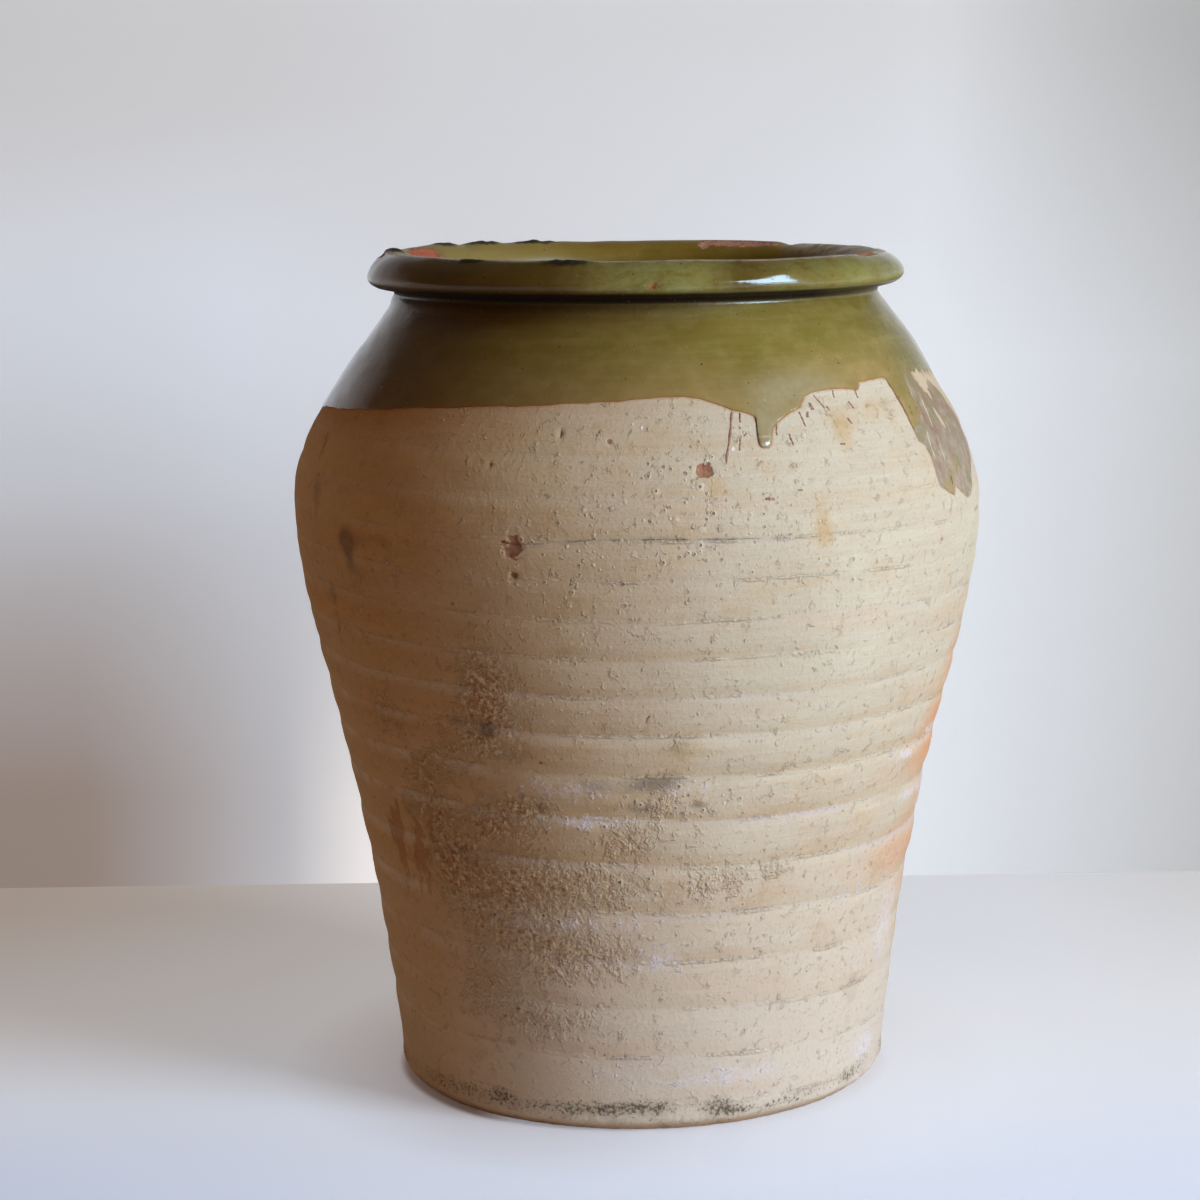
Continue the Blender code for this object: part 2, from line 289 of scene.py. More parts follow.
# Patches on the clay: azimuth, height and half sizes in millimetres, and strength
patches = {
    # where the skin has flaked
    "worn": metres((
        (-26, 222, 13, 20, 1.2), (-28, 200, 18, 12, 0.5), (-27, 157, 16, 10, 1), (-31, 118, 24, 20, 0.7),
        (-43, 165, 12, 16, 0.7), (-37, 185, 14, 8, 0.5), (-20.5, 164, 10, 7, 0.8), (-50, 205, 12, 12, 0.4),
        (-18, 127, 26, 11, 0.8), (-5, 126, 14, 8, 0.4), (-22, 96, 28, 16, 0.6), (-12, 90, 26, 10, 0.5),
        (-34, 70, 20, 14, 0.4), (-22, 56, 24, 8, 0.6), (4, 168, 9, 8, 0.5), (-2, 150, 14, 8, 0.6),
        (12, 127, 8, 9, 0.4), (18, 128, 8, 8, 0.4), (26, 132, 10, 6, 0.4), (-39, 136, 14, 18, 0.9),
        (128, 120, 50, 20, 0.7), (172, 180, 30, 18, 0.7), (-140, 100, 45, 22, 0.8),
        (-165, 215, 18, 14, 0.6),
    )),
    # chalky salts that came out of the clay
    "bloom": metres((
        (-12, 176, 30, 6, 0.7), (-10, 160, 24, 4, 1), (10, 176, 26, 4, 0.6), (-24, 106, 28, 5, 0.7),
        (-4, 108, 30, 5, 0.6), (4, 90, 14, 10, 0.8), (60, 176, 20, 4, 0.9), (73, 182, 16, 6, 0.9),
        (66, 152, 22, 4, 0.7), (78, 147, 14, 9, 0.8), (50, 110, 22, 8, 0.6), (66, 86, 18, 30, 0.8),
        (62, 22, 18, 10, 1), (22, 27, 34, 6, 0.8), (-2, 30, 40, 10, 0.5), (150, 150, 50, 8, 0.8),
        (-120, 170, 50, 7, 0.7), (-170, 60, 60, 10, 0.7),
    )),
    # where burnt-out grog left pits
    "pitted": metres((
        (4, 303, 55, 24, 1), (-12, 275, 50, 26, 0.7), (12, 335, 50, 18, 0.5), (-10, 225, 35, 20, 0.6),
        (-8, 165, 50, 16, 0.5), (8, 170, 45, 12, 0.7), (30, 285, 40, 16, 0.4), (3, 130, 50, 14, 0.8),
        (-20, 110, 50, 20, 0.7), (50, 262, 40, 12, 0.4), (-40, 340, 50, 14, 0.4), (140, 280, 70, 40, 0.8),
        (-130, 220, 80, 40, 0.7),
    )),
    # yellow-brown where something ran down or soaked in
    "stained": metres((
        (36.4, 340, 5, 9, 1), (38.6, 346, 8, 6, 0.8), (45, 349, 9, 6, 0.8), (29.3, 304, 4.5, 12, 0.9),
        (29.6, 295, 7, 6, 0.9), (12, 321, 6, 5, 1), (17, 315, 14, 6, 0.5), (2, 336, 6, 6, 0.5),
        (24, 330, 20, 8, 0.4), (-22, 340, 12, 8, 0.6), (-31, 330, 20, 10, 0.5), (160, 310, 12, 20, 0.8),
    )),
    # rusty streaks down the left side, darkened by smoke and by painted shade
    "rusty": metres((
        (-55.5, 138, 7.5, 22, 1.5), (-48.5, 132, 8, 20, 1), (-60, 247, 7, 16, 0.8), (-63, 170, 6, 22, 0.6),
        (-66, 330, 6, 12, 0.7), (-44, 142, 8, 18, 0.7), (-150, 200, 10, 50, 0.9),
    )),
    # orange where the flame licked the clay
    "flash": metres((
        (84, 205, 34, 40, 1), (74, 176, 30, 26, 0.6), (80, 110, 50, 40, 0.45), (68, 182, 26, 20, 0.3),
        (64, 125, 30, 20, 0.25), (-160, 260, 60, 30, 0.5),
    )),
    # soot and handling marks
    "smudge": metres((
        (-53.4, 289, 6, 7, 1.5), (-52.8, 280, 4, 8, 0.9), (-51, 288, 14, 5, 0.5), (-44, 290, 12, 5, 0.5),
        (-64, 302, 6, 12, 0.6), (-60, 262, 4, 12, 0.5), (-26.9, 203, 5, 4, 1.2), (-36.7, 140, 4, 3, 0.9),
        (-17.8, 166, 5, 3.5, 1.1), (-34, 205, 10, 4, 0.6), (1.2, 167, 10, 3.5, 0.9), (10.5, 168, 4, 2, 1.1),
        (-9, 179, 14, 5, 0.9), (3, 179, 16, 4, 0.9), (-24, 190, 16, 5, 0.5), (-44, 185, 10, 12, 0.4),
        (-50, 160, 8, 10, 0.5), (-30, 137, 14, 5, 0.6), (16, 168, 6, 3, 0.6), (20, 150, 12, 4, 0.5),
        (-8, 90, 16, 3, 0.7), (110, 230, 10, 14, 0.8), (165, 290, 10, 8, 0.8), (-110, 120, 10, 12, 0.8),
    )),
    # dark growth along the foot
    "lichen": metres((
        (-14, 11.5, 13, 4, 1), (-6, 12.5, 10, 3.5, 0.9), (2, 13, 13, 4.5, 1.2), (17, 12, 8, 5, 1.2),
        (21.5, 8.5, 10, 3, 1), (-33, 14, 7, 4, 1), (-56, 12, 14, 4.5, 0.6), (-44, 13, 13, 3.5, 0.5),
        (-24, 12, 12, 3, 0.5), (-38, 10, 40, 6, 0.45), (30, 8, 12, 2.8, 0.5), (62, 12.5, 12, 6, 0.6),
        (55, 10, 8, 4, 0.9), (40, 9, 20, 4, 0.6), (80, 12, 14, 6, 0.8), (130, 11, 30, 5, 0.9),
        (-150, 13, 40, 6, 0.9), (-80, 10, 20, 4, 0.8),
    )),
}

# Specks of lime: azimuth, height and radius
flecks = metres((
    (15.6, 336.2, 1.2), (29, 302.1, 0.9), (-23.6, 330.8, 0.7), (0.8, 346, 1), (-0.6, 347.8, 0.8),
    (8, 283.5, 0.8), (-6, 333, 0.6), (14, 270, 0.7), (40, 242, 0.8), (-100, 300, 1.2), (120, 220, 1.2),
))

# Places where the wall lost a flake: azimuth, height, half sizes and depth
chips = metres((
    (10.7, 327.2, 3.8, 4, 1), (-19.2, 293, 4.8, 5, 0.7), (-19.2, 279.8, 1.5, 1.2, 1.4),
    (-23.6, 329, 1, 1.2, 1), (-36.2, 292, 3, 0.5, 0.6), (-12.6, 344, 0.8, 2.4, 0.8),
    (-4.6, 340.2, 1.2, 1, 0.7), (143, 240, 6, 5, 1.2), (-128, 140, 5, 6, 1), (172, 90, 7, 5, 1.2),
), 4)

clayColumns = columnsRound(400, ((12.0, 62.0, 1.3), (-3.0, 26.0, 0.5)))


# Turns of the throwing spiral below its first groove, whole numbers in the grooves
def ringTurns(azimuth, height):
    levels = np.linspace(-0.03, 0.45, 2401)
    low, high = thrown["taper"]
    pitch = thrown["pitchHigh"] + (thrown["pitchLow"] - thrown["pitchHigh"]) * np.clip(
        (high - levels) / (high - low), 0.0, 1.0)
    counted = np.cumsum(1.0 / pitch) * (levels[1] - levels[0])
    turns = np.interp(thrown["firstGroove"], levels, counted) - np.interp(height, levels, counted)
    around = np.radians(azimuth)
    stray = 0.030 * np.sin(3 * around + 22.0 * height) + 0.022 * np.sin(8 * around - 35.0 * height + 1.0)
    return turns - azimuth / 360.0 + thrown["skew"] * (1.0 - np.cos(around)) + stray


# Distance in metres from a short slanting crack in front
def fromCrack(azimuth, height, radius):
    start, stop = np.array([0.2, 0.2050]), np.array([1.6, 0.2135])
    scale = np.array([math.radians(1.0) * 0.166, 1.0])
    step = (stop - start) * scale
    awayX = np.radians(azimuth - start[0]) * radius
    awayZ = height - start[1]
    t = np.clip((awayX * step[0] + awayZ * step[1]) / (step @ step), 0.0, 1.0)
    bend = 0.0003 * np.sin(14.0 * t)
    return np.hypot(awayX - t * step[0] - bend, awayZ - t * step[1])


# How strong the rings are: deep low down, faint on the shoulder, none at the foot
def ringStrength(azimuth, height):
    fade = 1.0 - smooth(0.15, 0.27, height)
    depth = thrown["depthHigh"] + (thrown["depthLow"] - thrown["depthHigh"]) * fade
    depth = depth * (0.55 + 0.45 * smooth(0.07, 0.15, height))
    depth = depth * (1.0 - 0.25 * spot(azimuth, height, 0.16, 62.0, 0.17, 0.08, 0.09))
    return depth * smooth(0.022, 0.05, height) * (1.0 - 0.75 * smooth(0.33, 0.37, height))


# Height of the belly seam, which strays a little from level
def seamHeight(azimuth):
    stray = (1.0 * np.exp(-((azimuth - 2.0) / 12.0) ** 2) - 2.2 * np.exp(-((azimuth + 20.0) / 8.0) ** 2)
             - 1.1 * np.exp(-((azimuth - 31.0) / 10.0) ** 2))
    return pot["bellyHeight"] + 0.001 * stray


# How far the seam has cracked open: from the chip round to the right, thinning out
def seamOpening(azimuth):
    opened = smooth(-20.5, -18.5, azimuth) * (1.0 - smooth(12.0, 33.0, azimuth))
    around = np.radians(azimuth)
    return opened * (0.75 + 0.25 * np.sin(47 * around) * np.sin(19 * around + 1.0))


# Sum of soft spots from a list
def fieldOf(rows, azimuth, height, radius):
    total = np.zeros(np.broadcast(azimuth, height).shape)
    for *place, strength in rows:
        total += strength * spot(azimuth, height, radius, *place)
    return total


# Each chip of the clay: how far inside its outline a point lies, an oval bent by noise, and its depth
def chipShapes(azimuth, height, radius, points):
    bend = 0.34 * ripple(points, 0.0045, 8) + 0.16 * ripple(points, 0.002, 9)
    return [(oval(azimuth, height, radius, *place) + bend, depth) for *place, depth in chips]


# How far the real wall stands off the turned form, outwards: rings that rise slowly below each groove and
# turn in sharply at the next, a slow wander and out-of-round, lumps, flaked patches, chips and the seam's
# crack
def clayRelief(azimuth, height, radius):
    points = turned(radius, height, azimuth)
    below = ringTurns(azimuth, height) % 1.0
    profile = smooth(-0.02, 0.40, below) * (1.0 - smooth(0.64, 1.03, below)) - 0.65
    uneven = 1.0 + 0.40 * ripple(points, 0.16, 3) + 0.45 * ripple(points * np.array([1.0, 1.0, 2.0]), 0.06, 4)
    relief = ringStrength(azimuth, height) * profile * np.clip(uneven, 0.25, 1.7)
    around = np.radians(azimuth)
    wander = 0.001 * (smooth(0.355, 0.39, height) - 0.9 * np.exp(-((height - 0.315) / 0.022) ** 2)
                      - 0.5 * np.exp(-((height - 0.17) / 0.045) ** 2)
                      + 0.5 * (1.0 - smooth(0.02, 0.09, height)))
    fuller = 0.0011 * np.exp(-((height - 0.377) / 0.011) ** 2) * smooth(0.3, 0.9, np.sin(around))
    relief = relief + wander * np.sin(around) + fuller
    ripples = 0.5 * np.cos(3 * around + 9.0 * height) + np.cos(2 * around - 1.1 + 3.0 * height)
    grounded = smooth(0.0, 0.03, height)
    relief = relief + thrown["outOfRound"] * 0.5 * ripples * grounded
    stretched = points * np.array([1.0, 1.0, 2.6])
    lumps = 0.00028 * ripple(stretched, 0.085, 5) + 0.00009 * ripple(stretched, 0.026, 6)
    relief = relief + lumps * grounded
    flaked = np.clip(fieldOf(patches["worn"], azimuth, height, radius), 0.0, 1.0)
    relief = relief + flaked * (0.00022 * ripple(points, 0.0065, 7) - 0.00022)
    for inside, depth in chipShapes(azimuth, height, radius, points):
        relief = relief - depth * smooth(0.0, 0.45, inside)
    relief = relief - 0.0005 * np.exp(-(fromCrack(azimuth, height, radius) / 0.0005) ** 2)
    crack = np.exp(-((height - seamHeight(azimuth)) / 0.00045) ** 2)
    return relief - 0.0004 * seamOpening(azimuth) * crack * (0.5 + 0.8 * ripple(points, 0.006, 10))


# Fields that the clay's material reads, one value a point
def clayFields(azimuth, height, radius):
    points = turned(radius, height, azimuth)
    turn = 2.0 * np.pi * ringTurns(azimuth, height)
    limes = [oval(azimuth, height, radius, *place, place[-1]) for place in flecks]
    breaks = [inside for inside, _ in chipShapes(azimuth, height, radius, points)]
    fields = {key: fieldOf(rows, azimuth, height, radius) for key, rows in patches.items()}
    fields.update({
        "fleck": np.maximum(np.max(limes, axis=0), -1.0),
        "slit": np.minimum(fromCrack(azimuth, height, radius) / 0.001, 9.0),
        "ringSin": np.sin(turn),
        "ringCos": np.cos(turn),
        "ringDepth": ringStrength(azimuth, height) / thrown["depthLow"],
        "belowGlaze": awayFromGlaze(azimuth, height, radius),
        "broken": np.maximum(np.max(breaks, axis=0), -1.0),
        "crack": np.minimum(np.abs(height - seamHeight(azimuth)) / 0.001, 9.0),
        "crackOpen": seamOpening(azimuth) + np.zeros_like(height),
    })
    return fields


# Faces between rings of points, each ring closed, and the last joined to the first where asked
def ringFaces(count, columns, closed):
    row = np.arange(count if closed else count - 1)[:, None]
    column = np.arange(columns)[None, :]
    beside = (column + 1) % columns
    after = (row + 1) % count
    return np.stack([row * columns + column, row * columns + beside,
                     after * columns + beside, after * columns + column], axis=-1).reshape(-1, 4)


# A mesh object from points and faces
def addMesh(name, points, faces, finish):
    mesh = bpy.data.meshes.new(name)
    mesh.from_pydata(points, [], faces)
    mesh.materials.append(finish)
    made = bpy.data.objects.new(name, mesh)
    bpy.context.scene.collection.objects.link(made)
    return made


# A piece from rows of points, each row a ring: rings joined last to first when closed, or else both
# ends drawn together at a pole. Faces are turned outwards by the sign of the volume
def addPiece(name, rows, finish, fields=None, closed=True, crease=48.0):
    count, columns = rows.shape[:2]
    points = rows.reshape(-1, 3)
    quads = ringFaces(count, columns, closed)
    triangles = np.zeros((0, 3), int)
    if not closed:
        ends = np.stack([rows[0].mean(axis=0), rows[-1].mean(axis=0)])
        first, last = len(points), len(points) + 1
        points = np.vstack([points, ends])
        top = (count - 1) * columns
        ring = np.arange(columns)
        nextOne = (ring + 1) % columns
        triangles = np.vstack([np.column_stack([nextOne, ring, np.full(columns, first)]),
                               np.column_stack([top + ring, top + nextOne, np.full(columns, last)])])
    a, b, c, d = (points[quads[:, k]] for k in range(4))
    volume = np.einsum("ij,ij->", a, np.cross(b, c)) + np.einsum("ij,ij->", a, np.cross(c, d))
    if volume < 0.0:
        quads = quads[:, ::-1]
        triangles = triangles[:, ::-1]
    made = addMesh(name, points.tolist(), quads.tolist() + triangles.tolist(), finish)
    mesh = made.data
    for key, values in (fields or {}).items():
        flat = np.concatenate([values.reshape(-1), np.zeros(len(points) - count * columns)])
        mesh.attributes.new(key, "FLOAT", "POINT").data.foreach_set("value", flat.astype(np.float32))
    mesh.validate()
    mesh.shade_smooth()
    mesh.set_sharp_from_angle(angle=math.radians(crease))
    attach(made, "root")
    print(f"{name}: {len(mesh.vertices)} points, {len(quads) * 2 + len(triangles)} triangles")
    return made


# Rows put together from parts: each part is (radius, height, azimuth rows, fields or None)
def stackRows(parts):
    rows = np.concatenate([turned(radius, height, azimuth) for radius, height, azimuth, _ in parts])
    names = {key for part in parts if part[3] for key in part[3]}
    fields = {}
    for key in sorted(names):
        fields[key] = np.concatenate([part[3][key] if part[3] else np.zeros(part[0].shape) for part in parts])
    return rows, fields


# A plain part of an outline, the same at every column: points (radius, height) in order
def plainRows(outline, columns):
    outline = np.asarray(outline, float)
    shape = (len(outline), len(columns))
    radius = np.broadcast_to(outline[:, :1], shape)
    height = np.broadcast_to(outline[:, 1:], shape)
    return radius, height, np.broadcast_to(columns, shape), None


# The weathered outside of the wall at rows of height and azimuth
def clayRows(height, columns):
    azimuth = np.broadcast_to(columns, height.shape)
    radius, level, outR, outZ = wallAt(uAtHeight(height))
    relief = clayRelief(azimuth, level, radius)
    return radius + relief * outR, level + relief * outZ, azimuth, clayFields(azimuth, level, radius)


# Materials

# Linear colour with alpha from an sRGB hex value
def colour(code):
    channels = [int(code[k:k + 2], 16) / 255.0 for k in (1, 3, 5)]
    linear = [c / 12.92 if c <= 0.04045 else ((c + 0.055) / 1.055) ** 2.4 for c in channels]
    return (*linear, 1.0)


# Adds a node with its settings and links, and returns one of its outputs
def wire(tree, kind, inputs=None, out=0, **settings):
    made = tree.nodes.new("ShaderNode" + kind)
    for name, value in settings.items():
        setattr(made, name, value)
    for key, value in (inputs or {}).items():
        socket = made.inputs[key]
        if isinstance(value, bpy.types.NodeSocket):
            tree.links.new(value, socket)
        else:
            socket.default_value = colour(value) if isinstance(value, str) else value
    return made.outputs[out]


# Two values or sockets put together by a sum, a product or the like
def combine(tree, operation, first, second):
    return wire(tree, "Math", {0: first, 1: second}, operation=operation)


# A new material with its tree and starting shader, and its signals by name: the place, across, along and
# level in metres, noises (their waves a metre along X, Y and Z, detail and roughness) and the mesh's fields
def newMaterial(name, noises=(), fields=()):
    made = bpy.data.materials.new(name)
    made.use_nodes = True
    tree = made.node_tree
    place = wire(tree, "TexCoord", out="Object")
    split = wire(tree, "SeparateXYZ", {0: place}).node.outputs
    signals = {"place": place, "across": split[0], "along": split[1], "level": split[2]}
    for key, waves, detail, roughness in noises:
        stretched = wire(tree, "VectorMath", {0: place, 1: waves}, operation="MULTIPLY")
        signals[key] = wire(tree, "TexNoise", {"Vector": stretched, "Scale": 1.0, "Detail": detail,
                                               "Roughness": roughness})
    for key in fields:
        signals[key] = wire(tree, "Attribute", out="Fac", attribute_name=key)
    return made, tree, tree.nodes["Principled BSDF"], signals


# For one material: mask multiplies its parts, which are numbers, sockets, names of signals, or (signal, low,
# high), the share from 0 to 1 as the signal passes from low to high, or between two shares that follow;
# frayed is a signal's share from low to high, its edge frayed by a noise
def maskMaker(tree, signals):
    def value(part):
        if isinstance(part, str):
            return signals[part]
        if isinstance(part, tuple):
            source, low, high, start, stop = (*part, 0.0, 1.0)[:5]
            return wire(tree, "MapRange", {0: value(source), 1: low, 2: high, 3: start, 4: stop})
        return part

    def mask(first, *others):
        product = value(first)
        for other in others:
            product = combine(tree, "MULTIPLY", product, value(other))
        return product

    def frayed(name, low, high, noise, amount):
        loose = combine(tree, "ADD", value(name), value((noise, 0.3, 0.7, -amount, amount)))
        return value((loose, low, high))

    return mask, frayed


# Lays colours over a first one. Each row is a colour, by its name in look or itself, and its mask's parts
def layColours(tree, mask, look, first, rows):
    base = look.get(first, first)
    for over, *parts in rows:
        base = wire(tree, "Mix", {0: mask(*parts), 6: base, 7: look.get(over, over)}, out=2, data_type="RGBA")
    return base


# The largest of some masks, each given by its parts
def largest(tree, mask, rows):
    most = mask(*rows[0])
    for row in rows[1:]:
        most = combine(tree, "MAXIMUM", most, mask(*row))
    return most


# Dots at scattered points: the room left inside each dot's edge, and the chance of its point. A dot comes
# where the chance passes low, and grows with it up to a size
def dotRoom(tree, mask, place, scale, low, size, channel=0):
    cells = wire(tree, "TexVoronoi", {"Vector": place, "Scale": scale}, out="Distance").node
    chance = wire(tree, "SeparateColor", {0: cells.outputs["Color"]}, out=channel)
    return combine(tree, "SUBTRACT", mask((chance, low, 1.0, 0.0, size)), cells.outputs["Distance"]), chance


# Bump from a sum of products, in millimetres
def addRelief(tree, mask, shader, rows):
    relief = mask(*rows[0])
    for row in rows[1:]:
        relief = combine(tree, "ADD", relief, mask(*row))
    bump = wire(tree, "Bump", {"Strength": 1.0, "Distance": 0.001, "Height": relief})
    tree.links.new(bump, shader.inputs["Normal"])


# Fired buff earthenware: wheel-thrown, unglazed, matt. The eye sees pale strips below each groove, partly
# painted light where the rings face up, painted shade just above each groove, dust in the grooves, grog pits
# with raised rims, iron specks, flaked reddish patches, chalky bloom, and a left side darkened by smoke and
# by painted shade
def firedEarthenware():
    look = {
        "buff": "#CEC5AF", "cream": "#DAD5C2", "ochre": "#C8AC82", "rose": "#D4B69E", "pale": "#E2DAC4",
        "dust": "#8C8280", "smoked": "#B88A52", "khaki": "#CAB088", "flaked": "#B47A56", "rust": "#8E5436",
        "chalk": "#E6E0E4", "flame": "#DC9C6A", "soot": "#5A4C42", "growth": "#403A30", "halo": "#AE7236",
        "outline": "#B97846", "fresh": "#B08468", "freshDark": "#704432", "speck": "#80604C",
        "tan": "#B58A58", "stain": "#C9A870", "seam": "#6E605A", "washed": "#DDD3C4", "rusted": "#9C6238",
        "lime": "#F2EEE8", "golden": "#D8B47E", "lavender": "#D6CED2", "moss": "#8C7A58", "tawny": "#E6D2AA",
    }
    finish, tree, shader, signals = newMaterial("firedEarthenware", (
        ("drift", (9.0, 9.0, 9.0), 3.0, 0.5), ("blotch", (34.0, 34.0, 48.0), 5.0, 0.6),
        ("crumb", (210.0, 210.0, 210.0), 4.0, 0.7), ("flake", (430.0, 430.0, 430.0), 3.0, 0.65),
        ("grog", (620.0, 620.0, 620.0), 3.0, 0.6), ("streak", (9.0, 9.0, 150.0), 5.0, 0.6),
        ("fine", (30.0, 30.0, 760.0), 3.0, 0.6), ("softStreak", (10.0, 10.0, 46.0), 4.0, 0.55),
        ("upright", (170.0, 170.0, 60.0), 4.0, 0.65)),
        (*patches, "ringSin", "ringCos", "ringDepth", "belowGlaze", "broken", "crack", "crackOpen", "fleck",
         "slit"))
    mask, frayed = maskMaker(tree, signals)

    # Where a point lies between two grooves: 0 in the groove, above it negative, below it positive
    turn = combine(tree, "ARCTAN2", signals["ringSin"], signals["ringCos"])
    phase = combine(tree, "DIVIDE", turn, 2.0 * math.pi)
    signals["phase"] = combine(tree, "ADD", phase, mask(("crumb", 0.3, 0.7, -0.03, 0.03)))

    for name, row in {
            "wornSoft": ("worn", 0.15, 1.0, "crumb", 0.35), "wornMask": ("worn", 0.52, 0.74, "flake", 0.75),
            "wornCore": ("worn", 0.95, 1.2, "crumb", 0.85), "bloomMask": ("bloom", 0.45, 1.05, "crumb", 0.55),
            "stainMask": ("stained", 0.2, 1.1, "crumb", 0.3),
            "rustMask": ("rusty", 0.55, 0.95, "upright", 0.6),
            "flashMask": ("flash", 0.1, 1.0, "softStreak", 0.25),
            "smudgeMask": ("smudge", 0.3, 1.2, "blotch", 0.45), "growth": ("lichen", 0.7, 1.4, "grog", 0.9),
            "growthSoft": ("lichen", 0.2, 1.4, "crumb", 0.3),
            "gathered": ("pitted", 0.1, 0.75, "drift", 0.12)}.items():
        signals[name] = frayed(*row)
    for name, parts in {
            "deep": [("ringDepth", 0.2, 0.9, 0.12, 1.0)],
            "dusty": [("phase", -0.1, -0.01), ("phase", 0.1, 0.02), ("softStreak", 0.46, 0.62),
                      ("crumb", 0.4, 0.56)],
            "crest": [("phase", 0.0, 0.05), ("phase", 0.34, 0.12), ("blotch", 0.36, 0.58)],
            "ridge": [("phase", -0.035, 0.0), ("phase", 0.075, 0.03), ("blotch", 0.47, 0.58),
                      ("across", -0.1, 0.0, 0.15, 1.0), ("level", 0.322, 0.304)],
            "strip": [("phase", -0.02, 0.03), ("phase", 0.22, 0.08), ("softStreak", 0.46, 0.6),
                      ("crumb", 0.36, 0.54, 0.3, 1.0), ("across", -0.08, -0.02)],
            "hairline": [("phase", -0.022, -0.012), ("phase", 0.004, -0.006), ("level", 0.31, 0.29),
                         ("blotch", 0.5, 0.56), ("crumb", 0.42, 0.52)],
            "shaded": [("phase", -0.32, -0.04), ("phase", 0.02, -0.02)],
            "crumbs": [("wornSoft", 0.05, 0.6), ("crumb", 0.38, 0.54, 0.4, 1.0)],
            "growthMask": ["growth", ("lichen", 0.05, 0.35)],
            "breakMask": [("broken", 0.0, 0.12)],
            "fleckMask": [("fleck", 0.0, 0.2)],
            "crackDust": [("crack", 0.2, 2.2, 0.55, 0.0), "crackOpen", ("crumb", 0.35, 0.6)],
            "leftSide": [("across", 0.045, -0.125)],
            "outlineMask": [("belowGlaze", 0.0002, 0.0012, 0.7, 0.0), ("crumb", 0.3, 0.6)]}.items():
        signals[name] = mask(*parts)

    # Cracks: wide where the noise is high, thin or closed where it is low
    for name, crack, narrow, wide in (("slitMask", "slit", 0.05, 0.75), ("crackLine", "crack", -0.15, 0.5)):
        inside = combine(tree, "SUBTRACT", mask(("crumb", 0.3, 0.7, narrow, wide)), signals[crack])
        signals[name] = mask((inside, 0.0, 0.25))
    signals["crackMask"] = mask("crackLine", "crackOpen")

    # The left side's smoke and painted shade thin out on the shoulder and at the foot, away from the far
    # left:
    # painted light, as more room light falls there from above and below
    ends = largest(tree, mask, ([("level", 0.275, 0.315)], [("level", 0.135, 0.065)]))
    signals["smokeAndShadeReach"] = mask((mask(ends, ("across", -0.105, -0.035)), 0.0, 1.0, 1.0, 0.25))

    # Brown halo below the glaze, reaching unevenly far down
    down = combine(tree, "DIVIDE", signals["belowGlaze"], mask(("softStreak", 0.3, 0.7, 0.006, 0.030)))
    signals["haloMask"] = mask((down, 0.0, 1.0, 0.85, 0.0), ("leftSide", 0.15, 1.0))

    # Pits at scattered points: an uneven hole with a raised rim, in clusters. Specks of iron in the same way
    wobble = wire(tree, "TexNoise", {"Vector": signals["place"], "Scale": 900.0, "Detail": 1.0}, out=1)
    wobble = wire(tree, "VectorMath", {0: wobble, 1: (0.0006, 0.0006, 0.0006)}, operation="MULTIPLY")
    shaken = wire(tree, "VectorMath", {0: signals["place"], 1: wobble}, operation="ADD")
    holes, rims = [], []
    for scale, size in ((310.0, 0.24), (170.0, 0.18), (100.0, 0.12)):
        room, chance = dotRoom(tree, mask, shaken, scale, 0.45, size)
        holes.append([(room, 0.0, 0.04)])
        rims.append([(room, -0.14, -0.01), (room, 0.03, 0.0), (chance, 0.45, 0.5)])
    for name, rows in (("holes", holes), ("rims", rims)):
        signals[name] = mask(largest(tree, mask, rows), "gathered", ("belowGlaze", 0.0, 0.01))
    ironRoom, _ = dotRoom(tree, mask, shaken, 95.0, 0.82, 0.12, channel=1)

